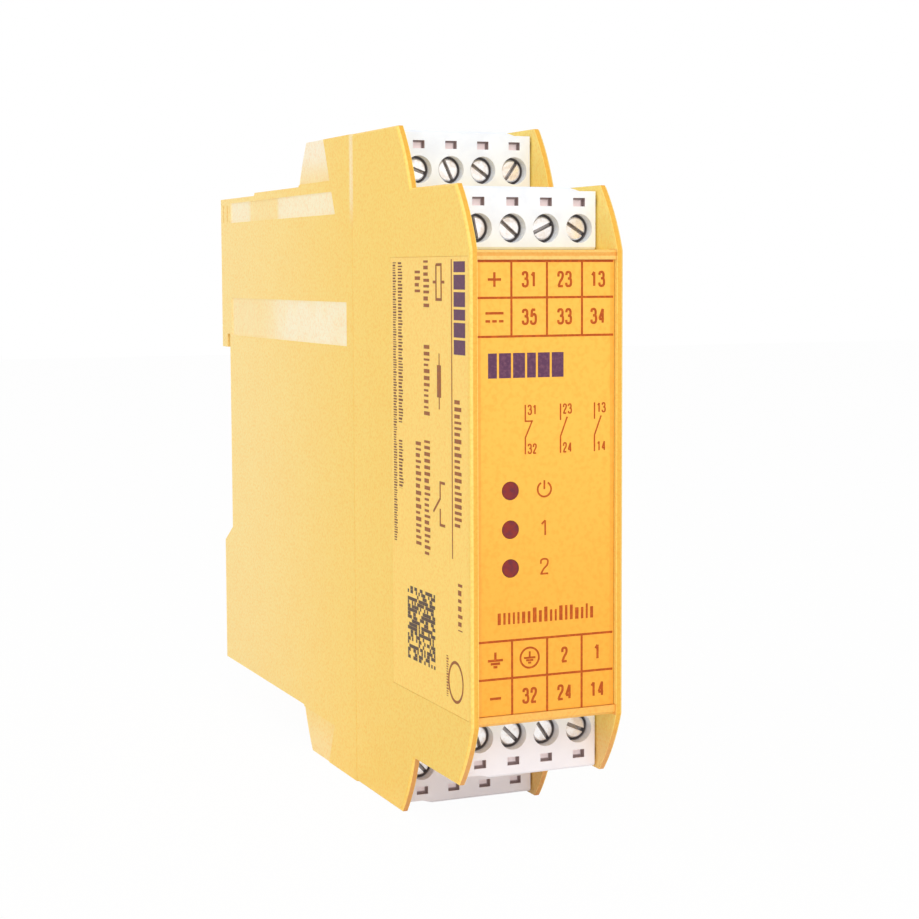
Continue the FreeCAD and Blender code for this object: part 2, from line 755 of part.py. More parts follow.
def plug_seat(row):
    """Depth, floor height and turn of a plug's own frame."""
    depth = at.step_front + at.plug_setback
    floor = corner_height
    if row.endswith("rear"):
        depth = depth + at.step_depth
        floor = step_height
    if row.startswith("bottom"):
        return y_at(depth), -floor, TURN_TO_BOTTOM
    return y_at(depth), floor, 0


def plug_body(row):
    """White plug in its own frame: Y from its front face, Z from the bay's floor."""
    body = new_body(f"plug_{row}")
    base = at.fixed_gap
    top = base + at.plug_height
    bevel = at.plug_bevel
    side = [
        (plug_length, base),
        (plug_length, top),
        (bevel, top),
        (0, top - bevel),
        (0, base + bevel),
        (bevel, base),
    ]
    add_prism(body, "block", "YZ_Plane", -plug_half, plug_half, [side])

    shoulder = plug_half - at.shoulder_width
    low_end = [
        (shoulder - at.shoulder_ramp, top),
        (shoulder, top - at.shoulder_drop),
        (plug_half + 1, top - at.shoulder_drop),
        (plug_half + 1, top + 1),
        (shoulder - at.shoulder_ramp, top + 1),
    ]
    cut_prism(body, "low_end", "XZ_Plane", -1, plug_length + 1, [low_end])

    poles = pole_places()
    wells = [("circle", pole, at.screw_rise, at.well_diameter) for pole in poles]
    cut_prism(body, "screw_wells", "XZ_Plane", -1, at.well_depth, wells)
    passage = at.thread_diameter / 2 + at.slide_gap
    passages = [rectangle(pole - passage, pole + passage, at.screw_rise - passage, at.screw_rise + passage)
                for pole in poles]
    cut_prism(body, "screw_passages", "XZ_Plane", 1, chamber_front + 1, passages)

    chamber_top = at.chamber_floor + at.chamber_height
    chambers = [rectangle(pole - chamber_half, pole + chamber_half, at.chamber_floor, chamber_top)
                for pole in poles]
    cut_prism(body, "chambers", "XZ_Plane", chamber_front, plug_length + 1, chambers)

    pocket_low = at.pocket_rise - at.pocket_height / 2
    pockets = [rectangle(pole - at.pocket_width / 2, pole + at.pocket_width / 2,
                         pocket_low, pocket_low + at.pocket_height) for pole in poles]
    cut_prism(body, "marker_pockets", "XZ_Plane", -1, at.pocket_depth, pockets)

    bar_slots = [rectangle(pole - bar_half - at.fixed_gap, pole + bar_half + at.fixed_gap,
                           chamber_top - 1, at.bar_top + at.fixed_gap) for pole in poles]
    cut_prism(body, "bar_slots", "XZ_Plane", at.bar_depth - at.fixed_gap, bar_back + at.fixed_gap,
              bar_slots)

    wire_back = bar_back + at.wire_gap
    entries = [rectangle(pole - bar_half, pole + bar_half, bar_back, wire_back) for pole in poles]
    cut_prism(body, "wire_entries", "XY_Plane", chamber_top - 1, top + 1, entries)
    funnels = [rectangle(pole - bar_half - at.funnel_rim, pole + bar_half + at.funnel_rim,
                         bar_back - at.funnel_rim, wire_back + at.funnel_rim) for pole in poles]
    cut_prism(body, "wire_funnels", "XY_Plane", top - at.shoulder_drop - at.funnel_rim, top + 1, funnels)
    place(body, 0, *plug_seat(row))
    return body


def contact(row, pole, number):
    """Current bar that turns back under the cage and ends in two arms round the pin."""
    body = new_body(f"contact_{row}_{number}")
    leg_low = at.chamber_floor + at.fixed_gap / 2
    leg_high = leg_low + at.leg_sheet
    fork_end = fork_start + at.fork_length
    strip = [
        (at.bar_depth, leg_low),
        (fork_end, leg_low),
        (fork_end, leg_high),
        (at.bar_depth + at.bar_sheet, leg_high),
        (at.bar_depth + at.bar_sheet, at.bar_top),
        (at.bar_depth, at.bar_top),
    ]
    add_prism(body, "strip", "YZ_Plane", -bar_half, bar_half, [strip])
    arm_start = at.pin_size / 2 + at.contact_gap
    arm_top = at.pin_rise + at.pin_size
    arm = [
        (fork_start, leg_low),
        (fork_end, leg_low),
        (fork_end, arm_top - at.pin_size / 2),
        (fork_end - at.pin_size / 2, arm_top),
        (fork_start, arm_top),
    ]
    for side, low in (("left", -(arm_start + at.fork_sheet)), ("right", arm_start)):
        add_prism(body, f"{side}_arm", "YZ_Plane", low, low + at.fork_sheet, [arm])
    deep, floor, turn = plug_seat(row)
    place(body, -pole if turn else pole, deep, floor, turn)
    return body


def terminal_screw(row, pole, number):
    """Round head with a driver slot and a plain shank, at its own angle."""
    body = new_body(f"screw_{row}_{number}")
    head = at.screw_head / 2
    crown = head * 0.12
    shank = at.thread_diameter / 2
    tip = at.bar_depth - at.fixed_gap - at.head_setback
    profile = [
        (0, 0),
        (head - crown, 0),
        (head, crown),
        (head, at.head_length),
        (shank, at.head_length),
        (shank, tip),
        (0, tip),
    ]
    revolve(body, "turned", profile)
    slot = rectangle(-head - 1, head + 1, -at.slot_width / 2, at.slot_width / 2)
    cut_prism(body, "driver_slot", "XZ_Plane", -1, at.slot_depth, [slot])
    deep, floor, turn = plug_seat(row)
    rise = -at.screw_rise if turn else at.screw_rise
    place(body, pole, deep + at.head_setback, floor + rise, -SCREW_SLOT_ANGLES[row][number - 1])
    return body


def clamping_cage(row, pole, number):
    """Square cage round the bar. The screw draws it forward onto the wire. It rests open."""
    body = new_body(f"cage_{row}_{number}")
    inner_back = bar_back + at.wire_gap
    corner = at.cage_wall
    outer = [
        (-cage_half + corner, cage_start),
        (cage_half - corner, cage_start),
        (cage_half, cage_start + corner),
        (cage_half, inner_back + at.cage_back),
        (-cage_half, inner_back + at.cage_back),
        (-cage_half, cage_start + corner),
    ]
    inner_half = cage_half - at.cage_wall
    inner_front = cage_start + at.cage_front
    inner = rectangle(-inner_half, inner_half, inner_front, inner_back)
    add_prism(body, "loop", "XY_Plane", at.cage_floor, at.cage_floor + at.cage_height, [outer, inner])
    hole = ("circle", 0, at.screw_rise, at.thread_diameter + at.thread_gap * 2)
    cut_prism(body, "threaded_hole", "XZ_Plane", cage_start - 1, inner_front + at.thread_gap, [hole])
    deep, floor, turn = plug_seat(row)
    place(body, pole, deep, floor, turn)
    return body


# ---------------------------------------------------------------- headers, board and its parts

def header(row):
    """Insulating block behind a bay's wall, with a boss in the wall's window and four pin holes."""
    body = new_body(f"header_{row}")
    deep, floor, turn = plug_seat(row)
    gap = at.fixed_gap
    low = at.header_floor + gap
    high = at.header_floor + at.header_height - gap
    boss = rectangle(-(header_half - gap), header_half - gap, low, high)
    add_prism(body, "boss", "XZ_Plane", row_wall + gap, row_wall + at.shell_wall + gap, [boss])
    flange = rectangle(-header_half - at.header_flange, header_half + at.header_flange,
                       low - at.header_flange, high + at.header_flange)
    add_prism(body, "flange", "XZ_Plane", row_wall + at.shell_wall + gap, row_wall + at.header_length,
              [flange])
    hole = at.pin_size / 2 + at.contact_gap
    holes = [rectangle(pole - hole, pole + hole, at.pin_rise - hole, at.pin_rise + hole)
             for pole in pole_places()]
    cut_prism(body, "pin_holes", "XZ_Plane", row_wall, row_wall + at.header_length + 1, holes)
    place(body, 0, deep, floor, turn)
    return body


def header_pin(row, pole, number):
    """Square pin that leaves its header and turns left into the board, each at its own depth."""
    body = new_body(f"pin_{row}_{number}")
    deep, floor, turn = plug_seat(row)
    half = at.pin_size / 2
    tail = row_wall + at.header_length + at.tail_pitch * (number - 1) + at.tail_start
    end = board_left - pole
    bend = at.pin_size
    outline = [
        (-half, row_wall - at.pin_reach + half),
        (-half / 2, row_wall - at.pin_reach),
        (half / 2, row_wall - at.pin_reach),
        (half, row_wall - at.pin_reach + half),
        (half, tail + half - bend),
        (half - bend, tail + half),
        (end, tail + half),
        (end, tail - half),
        (-half, tail - half),
    ]
    rise = at.pin_rise
    if turn:
        rise = -rise
    add_prism(body, "bent_pin", "XY_Plane", rise - half, rise + half, [outline])
    place(body, pole, deep, floor)
    return body


def tail_holes():
    """Holes of the board for every pin's tail."""
    holes = []
    half = at.pin_size / 2 + at.tail_gap
    for row in SCREW_SLOT_ANGLES:
        deep, floor, turn = plug_seat(row)
        rise = -at.pin_rise if turn else at.pin_rise
        for number in range(1, POLES + 1):
            tail = deep + row_wall + at.header_length + at.tail_pitch * (number - 1) + at.tail_start
            pin = floor + rise
            holes.append(rectangle(tail - half, tail + half, pin - half, pin + half))
    return holes


def main_board():
    """Circuit board along the left side. Its outline follows the shells' steps."""
    body = new_body("main_board")
    edge = at.board_margin
    front = y_at(at.face_recess) + at.face_wall + edge
    wall = at.shell_wall + edge
    behind_header = at.step_depth + at.header_length + at.fixed_gap * 4
    outline = [
        (front, -(corner_height - wall)),
        (y_at(behind_header), -(corner_height - wall)),
        (y_at(behind_header), -(step_height - wall)),
        (y_at(behind_header + at.step_depth), -(step_height - wall)),
        (y_at(behind_header + at.step_depth), -(half_height - wall)),
        (y_at(wing_rear) - wall, -(half_height - wall)),
        (y_at(wing_foot) - wall, -(back_height - wall)),
        (-at.seat_wall - edge, -(back_height - wall)),
    ]
    add_prism(body, "board", "YZ_Plane", board_left, board_right, [mirrored(outline)] + tail_holes())
    return body


def switching_relay(number):
    """Sealed relay with forcibly guided contacts: a box with bevelled cover edges, on the board."""
    body = new_body(f"relay_{number}")
    front = y_at(seam_depth + at.relay_place) + at.relay_pitch * (number - 1)
    half = at.relay_length / 2
    low = board_right + at.seat_gap
    base = [rectangle(front, front + at.relay_depth, -half, half)]
    add_prism(body, "base", "YZ_Plane", low, low + at.relay_base, base)
    inset = at.relay_bevel / 2
    cover = [rectangle(front + inset, front + at.relay_depth - inset, -half + inset, half - inset)]
    add_prism(body, "cover", "YZ_Plane", low + at.relay_base, low + at.relay_height, cover)
    cover_foot = (low + at.relay_base).value
    bevel_edges(body, "cover_edges", at.relay_bevel, lambda edge: edge_middle(edge).x > cover_foot + 0.01)
    return body


def signal_lamps():
    """Three side-looking lamps on the board, each behind its light guide."""
    lamps = []
    front = y_at(at.face_recess) - at.front_film + at.lamp_length + at.lamp_gap
    half = at.lamp_body / 2
    low = board_right + at.seat_gap
    for number, height in enumerate(lamp_heights(), 1):
        lamp = new_body(f"signal_lamp_{number}")
        case = rectangle(front + half / 2, front + at.lamp_body, -half, half)
        add_prism(lamp, "case", "YZ_Plane", low, -at.lamp_offset + half, [case])
        lens_half = at.lamp_diameter / 2
        lens = [rectangle(-at.lamp_offset - lens_half, -at.lamp_offset + lens_half, -lens_half, lens_half)]
        add_prism(lamp, "lens", "XZ_Plane", front, front + half, lens)
        place(lamp, 0, 0, height)
        lamps.append(lamp)
    return group("signal_lamps", lamps)


def smoothing_capacitors():
    """Two upright cans, each with its crimp above the board."""
    cans = []
    low = board_right + at.seat_gap
    middle = y_at(at.supply_depth) + at.can_diameter / 2
    crimp = at.can_diameter * CRIMP_NARROWING
    for number in (1, 2):
        can = new_body(f"capacitor_{number}")
        height = corner_height - at.can_drop - at.can_pitch * (2 - number)
        foot = at.can_length * CRIMP_SHARE
        add_prism(can, "crimp", "YZ_Plane", low, low + foot, [("circle", middle, height, crimp)])
        add_prism(can, "can", "YZ_Plane", low + foot, low + at.can_length,
                  [("circle", middle, height, at.can_diameter)])
        cans.append(can)
    return group("smoothing_capacitors", cans)


def supply_transformer():
    """Small transformer: a bobbin with two flanges round a wound core."""
    body = new_body("supply_transformer")
    low = board_right + at.seat_gap
    front = y_at(at.supply_depth)
    half = at.coil_length / 2
    lower_can = corner_height - at.can_drop - at.can_pitch
    middle = lower_can - at.can_diameter / 2 - at.coil_gap - half
    flange = at.coil_height * 0.1
    inset = at.coil_width * 0.12
    back = front + at.coil_width
    plate = [rectangle(front, back, middle - half, middle + half)]
    add_prism(body, "lower_flange", "YZ_Plane", low, low + flange, plate)
    reach = half - inset
    coil = [rectangle(front + inset, back - inset, middle - reach, middle + reach)]
    add_prism(body, "winding", "YZ_Plane", low + flange, low + at.coil_height - flange, coil)
    add_prism(body, "upper_flange", "YZ_Plane", low + at.coil_height - flange, low + at.coil_height,
              plate)
    return body


def controllers():
    """Two flat controllers with a row of legs on each long side."""
    chips = []
    low = board_right + at.seat_gap
    leg = at.chip_thick * 0.15
    front = y_at(at.chip_depth)
    back = front + at.chip_width
    reach = at.chip_width * 0.12
    half = at.chip_length / 2
    leg_pitch = at.chip_length / CHIP_LEGS
    for number, height in enumerate((at.chip_first, -at.chip_first), 1):
        chip = new_body(f"controller_{number}")
        case = [rectangle(front, back, height - half, height + half)]
        add_prism(chip, "case", "YZ_Plane", low, low + at.chip_thick, case)
        legs = []
        for index in range(CHIP_LEGS):
            start = height - half + leg_pitch * (index + 0.3)
            legs.append(rectangle(front - reach, back + reach, start, start + leg_pitch * 0.4))
        add_prism(chip, "legs", "YZ_Plane", low, low + leg, legs)
        chips.append(chip)
    return group("controllers", chips)


def fuse():
    """Glass fuse between two end caps, lying along the height."""
    body = new_body("fuse")
    radius = at.fuse_diameter / 2
    cap = at.fuse_length * 0.2
    glass = radius * 0.88
    profile = [
        (0, 0),
        (radius, 0),
        (radius, cap),
        (glass, cap),
        (glass, at.fuse_length - cap),
        (radius, at.fuse_length - cap),
        (radius, at.fuse_length),
        (0, at.fuse_length),
    ]
    revolve(body, "turned", profile)
    place(body, board_right + at.seat_gap + radius, y_at(at.supply_depth), -at.fuse_drop)
    return body


# ---------------------------------------------------------------- rail latch

def rail_latch():
    """Slider with a sloped nose behind the rail's lower flange and a driver hole in its tail."""
    body = new_body("rail_latch")
    gap = at.slide_gap
    nose_top = at.rail_width / 2 - latch_cover
    nose_front = at.rail_flange + gap * 2
    nose_foot = groove_top + at.lug_height / 2
    neck = [
        (gap, -latch_end),
        (at.latch_back, -latch_end),
        (at.latch_back, -(nose_top + at.nose_slope)),
        (nose_front + at.nose_flat, -nose_top),
        (nose_front, -nose_top),
        (nose_front, -nose_foot),
        (gap, -nose_foot),
    ]
    add_prism(body, "neck", "YZ_Plane", -at.latch_neck / 2, at.latch_neck / 2, [neck])
    slider = rectangle(gap, gap + at.latch_sheet, -latch_end, -(latch_stop + at.latch_slack))
    add_prism(body, "slider", "YZ_Plane", -at.latch_width / 2, at.latch_width / 2, [slider])
    pocket_half = at.spring_diameter / 2 + at.latch_slack * 2
    pocket = rectangle(-pocket_half, pocket_half, -(spring_low + at.lug_height + at.latch_slack * 2),
                       -spring_top)
    cut_prism(body, "spring_pocket", "XZ_Plane", -1, at.lug_deep + at.latch_slack * 2, [pocket])
    tail = -latch_end + at.driver_hole * 0.75
    driver = rectangle(-at.latch_neck * 0.4, at.latch_neck * 0.4, tail, tail + at.driver_hole)
    cut_prism(body, "driver_hole", "XZ_Plane", -1, at.latch_back + 1, [driver])
    return body


def latch_spring():
    """Compression spring between the latch and the lug of the rear shell."""
    wire = at.spring_wire.value
    radius = at.spring_diameter.value / 2 - wire / 2
    height = at.spring_length.value - wire - at.contact_gap.value * 2
    helix = Part.makeHelix(height / at.spring_turns.value, height, radius)
    corners = []
    for index in range(WIRE_SIDES):
        turn = FreeCAD.Rotation(FreeCAD.Vector(0, 1, 0), 360 * index / WIRE_SIDES)
        corners.append(turn.multVec(FreeCAD.Vector(wire / 2, 0, 0)) + FreeCAD.Vector(radius, 0, 0))
    section = Part.makePolygon(corners + corners[:1])
    spring = doc.addObject("Part::Feature", "latch_spring")
    spring.Shape = Part.Wire(helix.Edges).makePipeShell([section], True, True)
    low = -(spring_low - at.contact_gap - at.spring_wire / 2)
    place(spring, 0, at.lug_deep / 2 + at.latch_slack * 2, low)
    return spring


# ---------------------------------------------------------------- the whole relay

def build_relay():
    """Every node of the relay, in the order of the list below."""
    nodes = [front_shell(), rear_shell(), front_label(), side_label(), light_guides()]
    pins = []
    for row in SCREW_SLOT_ANGLES:
        nodes.append(plug_body(row))
        nodes.append(header(row))
        contacts = []
        for number, pole in enumerate(pole_places(), 1):
            contacts.append(contact(row, pole, number))
            pins.append(header_pin(row, pole, number))
            nodes.append(terminal_screw(row, pole, number))
            nodes.append(clamping_cage(row, pole, number))
        nodes.append(group(f"contacts_{row}", contacts))
    nodes.append(group("header_pins", pins))
    nodes += [main_board(), switching_relay(1), switching_relay(2), signal_lamps()]
    nodes += [smoothing_capacitors(), supply_transformer(), controllers(), fuse()]
    nodes += [rail_latch(), latch_spring()]
    return nodes


def check_document():
    """Stop on any feature that failed."""
    for item in doc.Objects:
        if "Invalid" in item.State or "Error" in item.State:
            raise RuntimeError(f"{item.Name} failed: {item.State}")


def write_nodes(nodes):
    os.makedirs("parts", exist_ok=True)
    for node in nodes:
        shape = node.Shape
        if shape.isNull() or not shape.isValid() or not shape.Solids:
            raise RuntimeError(f"{node.Label} has no valid solid")
    for node in nodes:
        node.Shape.exportStep(f"parts/{node.Label}.step")


all_nodes = build_relay()
doc.recompute()
check_document()
write_nodes(all_nodes)
print(len(all_nodes), "nodes written")
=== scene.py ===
"""Looks of a slim yellow safety relay for a 35 mm rail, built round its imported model.

Everything is in metres, in the model's own frame: the origin is the middle of the rail seat, +X the relay's
right, -Y its front and +Z up. Lengths in the finishes and places on the printed films are in millimetres.
"""

import math
import random
from functools import partial

import bmesh
import bpy
from mathutils import Euler, Matrix, Vector


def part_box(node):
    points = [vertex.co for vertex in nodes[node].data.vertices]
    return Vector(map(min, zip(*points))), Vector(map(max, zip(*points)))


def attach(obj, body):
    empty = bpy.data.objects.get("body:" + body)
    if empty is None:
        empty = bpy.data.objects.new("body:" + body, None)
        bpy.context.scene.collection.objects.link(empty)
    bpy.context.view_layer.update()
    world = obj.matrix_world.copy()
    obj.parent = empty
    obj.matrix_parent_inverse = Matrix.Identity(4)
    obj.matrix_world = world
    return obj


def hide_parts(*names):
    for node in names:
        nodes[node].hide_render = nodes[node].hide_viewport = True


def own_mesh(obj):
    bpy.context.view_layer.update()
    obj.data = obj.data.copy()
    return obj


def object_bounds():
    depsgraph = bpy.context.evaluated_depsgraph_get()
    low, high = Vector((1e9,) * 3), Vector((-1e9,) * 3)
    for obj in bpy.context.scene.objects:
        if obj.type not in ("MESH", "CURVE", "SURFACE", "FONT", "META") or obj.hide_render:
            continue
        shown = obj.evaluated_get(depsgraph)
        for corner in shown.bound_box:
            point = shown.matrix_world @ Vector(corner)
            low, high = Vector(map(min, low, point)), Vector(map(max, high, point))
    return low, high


MM = 0.001
ROWS = ("top_rear", "top_front", "bottom_front", "bottom_rear")
POLES = 4

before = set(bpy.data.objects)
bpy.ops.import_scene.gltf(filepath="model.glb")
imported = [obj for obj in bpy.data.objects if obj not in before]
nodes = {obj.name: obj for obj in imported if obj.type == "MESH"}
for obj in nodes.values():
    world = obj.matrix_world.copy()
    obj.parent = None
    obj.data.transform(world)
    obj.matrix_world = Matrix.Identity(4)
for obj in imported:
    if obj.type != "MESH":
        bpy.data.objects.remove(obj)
cad_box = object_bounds()
FRONT = cad_box[0].y / MM
random.seed(24)


# ---------------------------------------------------------------- colours and node maths

def linear(level):
    """One channel of a paint, from its 0 to 255 value as seen to the value that shaders use."""
    share = level / 255
    return share / 12.92 if share <= 0.04045 else ((share + 0.055) / 1.055) ** 2.4


def paint(red, green, blue):
    return (linear(red), linear(green), linear(blue), 1.0)


class Amount:
    """A number that varies over a surface. Its operators add Math nodes to the finish it belongs to."""

    def __init__(self, finish, socket):
        self.finish = finish
        self.socket = socket

    def math(self, operation, *values):
        made = self.finish.node("ShaderNodeMath", {"operation": operation}, dict(enumerate(values)))
        return Amount(self.finish, made.outputs[0])

    def __add__(self, other):
        return self.math("ADD", self, other)

    def __sub__(self, other):
        return self.math("SUBTRACT", self, other)

    def __rsub__(self, other):
        return self.math("SUBTRACT", other, self)

    def __mul__(self, other):
        return self.math("MULTIPLY", self, other)

    def __mod__(self, other):
        return self.math("FLOORED_MODULO", self, other)

    def __or__(self, other):
        return self.math("MAXIMUM", self, other)

    def __abs__(self):
        return self.math("ABSOLUTE", self)

    __radd__ = __add__
    __rmul__ = __mul__

    def root(self):
        return self.math("SQRT", self)

    def ease(self, low, high, first=0.0, last=1.0):
        """This amount's way from low to high, mapped smoothly to first and last."""
        sockets = {0: self, 1: low, 2: high, 3: first, 4: last}
        made = self.finish.node("ShaderNodeMapRange", {"interpolation_type": "SMOOTHSTEP"}, sockets)
        return Amount(self.finish, made.outputs[0])

    def inside(self, low, high, edge):
        """1 between low and high, falling to 0 over an edge outside them."""
        return self.ease(low - edge, low) * self.ease(high, high + edge, 1.0, 0.0)


class Finish:
    """A material under construction, with its shader's constant sockets set first.

    spot is a point's place at rest in millimetres, and across, depth and up are its parts, the depth counted
    from the front edges of the side plates.
    """

    def __init__(self, name, **constants):
        self.material = bpy.data.materials.new(name)
        self.material.use_nodes = True
        self.tree = self.material.node_tree
        self.shader = self.tree.nodes["Principled BSDF"]
        for socket, value in constants.items():
            self.shader.inputs[socket.replace("_", " ")].default_value = value
        place = self.node("ShaderNodeTexCoord", {}, {}).outputs["Object"]
        scaled = self.node("ShaderNodeVectorMath", {"operation": "SCALE"}, {"Vector": place, "Scale": 1 / MM})
        self.spot = scaled.outputs[0]
        parts = self.node("ShaderNodeSeparateXYZ", {}, {0: self.spot}).outputs
        self.across, along, self.up = [Amount(self, part) for part in parts]
        self.depth = along - FRONT

    def node(self, kind, settings, sockets):
        """A node of this kind: its settings are set first, then its sockets' values or links."""
        made = self.tree.nodes.new(kind)
        for key, value in settings.items():
            setattr(made, key, value)
        for socket, value in sockets.items():
            self.feed(made.inputs[socket], value)
        return made

    def feed(self, socket, value):
        if isinstance(value, Amount):
            value = value.socket
        if isinstance(value, bpy.types.NodeSocket):
            self.tree.links.new(value, socket)
        else:
            socket.default_value = value

    def noise(self, size, detail=2.0, roughness=0.5):
        """Cloudy noise whose patches are about this size."""
        sockets = {"Vector": self.spot, "Scale": 1 / size, "Detail": detail, "Roughness": roughness}
        return Amount(self, self.node("ShaderNodeTexNoise", {}, sockets).outputs[0])

    def blend(self, share, first, last, how="MIX"):
        """Two colours, mixed by a share."""
        settings = {"data_type": "RGBA", "blend_type": how}
        return self.node("ShaderNodeMix", settings, {0: share, 6: first, 7: last}).outputs[2]

    def colour(self, value):
        self.feed(self.shader.inputs["Base Color"], value)

    def roughness(self, value):
        self.feed(self.shader.inputs["Roughness"], value)

    def relief(self, height, deep):
        """Relief this deep under the light."""
        sockets = {"Strength": 1.0, "Distance": deep * MM, "Height": height}
        self.feed(self.shader.inputs["Normal"], self.node("ShaderNodeBump", {}, sockets).outputs[0])


# ---------------------------------------------------------------- yellow shell

# painted light and shade among these tones: the paler rear of the sides, the edge highlight, the pale tone of
# pads and bands, the highlight beside the seam and the ledges' tones
SIDE_FRONT = paint(251, 215, 105)
SIDE_REAR_SHEEN = paint(255, 228, 146)
EDGE_TONE = paint(239, 183, 66)
EDGE_LOW = paint(224, 160, 96)
INNER_TONE = paint(255, 228, 124)
INNER_LOW = paint(246, 200, 122)
EDGE_HIGHLIGHT_TONE = paint(255, 220, 118)
PAD_SHEEN_TONE = paint(255, 246, 220)
PALE_SHEEN_TONE = paint(255, 246, 214)
SEAM_TONE = paint(246, 200, 104)
LEDGE_HIGHLIGHT = paint(248, 204, 114)
LEDGE_FOLD_SHADE = paint(234, 172, 78)
LOW_LEDGE_SHADE = paint(247, 190, 92)
GRIT_TONE = paint(252, 224, 196)
CLOUD_TONE = paint(255, 246, 236)

# places on the shells: depths behind the plates' front edges, and heights from the middle
HALF_WIDTH = 11.25
PLATE_WALL = 1.0
SEAM = 44.5
REAR_SHEEN_SPAN = (30, 112)
LOW_END = (-38, -31)
SHELL_TOP = 42.6
WING_TOP = 49.5
PAD_START = 57.5
PAD_LEAN = 0.44
BAND_END = 108.3
# the pads and bands are painted paler as a sheen, which is weaker along one stretch of each band
TOP_BAND = (37.8, 41.2)
TOP_BAND_START = 50
TOP_BAND_SHEEN_GAP = (82, 96)
LOW_BAND = (17.6, 24.2)
LOW_BAND_START = 47.5
LOW_BAND_SHEEN_FADE = (74, 92)
SEAM_RISE = (32, 38)
# where the painted highlight beside the seam rises
SEAM_HIGHLIGHT_RISE = (35, 41)
LEDGE = (30.3, 31.8)
LEDGE_FOLD = (30.95, 31.3)
LEDGE_DEPTH = (-1, 2.4)


def plate_tone(shell, away, side, inner):
    """The sides are painted paler towards the back, a painted sheen. The front shell's edges and inner faces
    are deeper, more so below. A painted highlight runs along the plates' rounded front edges.
    """
    # painted sheen: the sides turn paler towards the back
    outside = shell.blend(shell.depth.ease(*REAR_SHEEN_SPAN), SIDE_FRONT, SIDE_REAR_SHEEN)
    low = shell.up.ease(*LOW_END, 0.8, 0.0)
    edge = shell.blend(low, EDGE_TONE, EDGE_LOW)
    edges = shell.blend(inner, edge, shell.blend(low, INNER_TONE, INNER_LOW))
    in_front = shell.depth.ease(SEAM - 1.5, SEAM - 0.5, 1.0, 0.0)
    tone = shell.blend(in_front * (1.0 - side), outside, edges)
    # painted highlight along the plates' rounded front edges, in front of the seam
    edge_highlight = away.inside(HALF_WIDTH - 0.3, HALF_WIDTH - 0.1, 0.04)
    return shell.blend(edge_highlight * shell.depth.ease(SEAM - 2, SEAM - 1, 1.0, 0.0), tone, EDGE_HIGHLIGHT_TONE)


def smooth_field_sheen(shell, side, tone):
    """Painted sheen: the pads on the wings and the two bands on the sides, behind the pads' leaning front
    line, are painted paler, as if they reflected the white room.
    """
    height = abs(shell.up)
    behind = (shell.depth - PAD_START + (WING_TOP - height) * PAD_LEAN).ease(-0.05, 0.25)
    pad = behind * height.ease(SHELL_TOP + 0.3, SHELL_TOP + 0.5) * side * shell.up.ease(-2, 2, 0.3, 1.0)
    tone = shell.blend(pad * (0.35 + height.ease(SHELL_TOP, 48) * 0.6), tone, PAD_SHEEN_TONE)
    top_band = behind * shell.up.inside(*TOP_BAND, 0.1) * shell.depth.inside(TOP_BAND_START, BAND_END, 0.1)
    top_sheen = 1.0 - shell.depth.inside(*TOP_BAND_SHEEN_GAP, 2) * 0.75
    tone = shell.blend(top_band * top_sheen * side * 0.85, tone, PALE_SHEEN_TONE)
    low_band = shell.up.inside(*LOW_BAND, 0.1) * shell.depth.inside(LOW_BAND_START, BAND_END, 0.1)
    low_sheen = shell.depth.ease(*LOW_BAND_SHEEN_FADE, 1.0, 0.35)
    # patchy painted sheen along the lower band
    patchy_ink_and_sheen = shell.noise(6, 1.0).ease(0.2, 0.6, 0.75, 0.95)
    return shell.blend(low_band * low_sheen * side * patchy_ink_and_sheen, tone, PALE_SHEEN_TONE)


def seam_and_highlight(shell, side, tone):
    """The seam of the two shells, and a soft painted highlight beside its upper end."""
    seam = shell.depth.inside(SEAM - 0.1, SEAM + 0.25, 0.12) * side
    tone = shell.blend(seam * shell.up.ease(*SEAM_RISE, 0.22, 0.6), tone, SEAM_TONE)
    # painted highlight beside the seam's upper end
    seam_highlight = shell.depth.inside(SEAM + 0.2, SEAM + 0.6, 1.0) * side
    return shell.blend(seam_highlight * shell.up.ease(*SEAM_HIGHLIGHT_RISE, 0.0, 0.6), tone, PALE_SHEEN_TONE)


def ledge_light_and_shade(shell, inner, tone):
    """The bevelled ledges over and under the front film, with painted light and shade: a painted highlight on
    the upper ledge, painted shade in its fold, and painted shade on the lower ledge, which faces down.
    """
    ledge = shell.depth.inside(*LEDGE_DEPTH, 0.1) * inner
    upper = ledge * shell.up.inside(*LEDGE, 0.05)
    lower = ledge * shell.up.inside(-LEDGE[1], -LEDGE[0], 0.05)
    # painted highlight on the upper ledge and painted shade in its fold; painted shade on the lower ledge
    fold = shell.blend(shell.up.inside(*LEDGE_FOLD, 0.15), LEDGE_HIGHLIGHT, LEDGE_FOLD_SHADE)
    return shell.blend(lower, shell.blend(upper, tone, fold), LOW_LEDGE_SHADE)


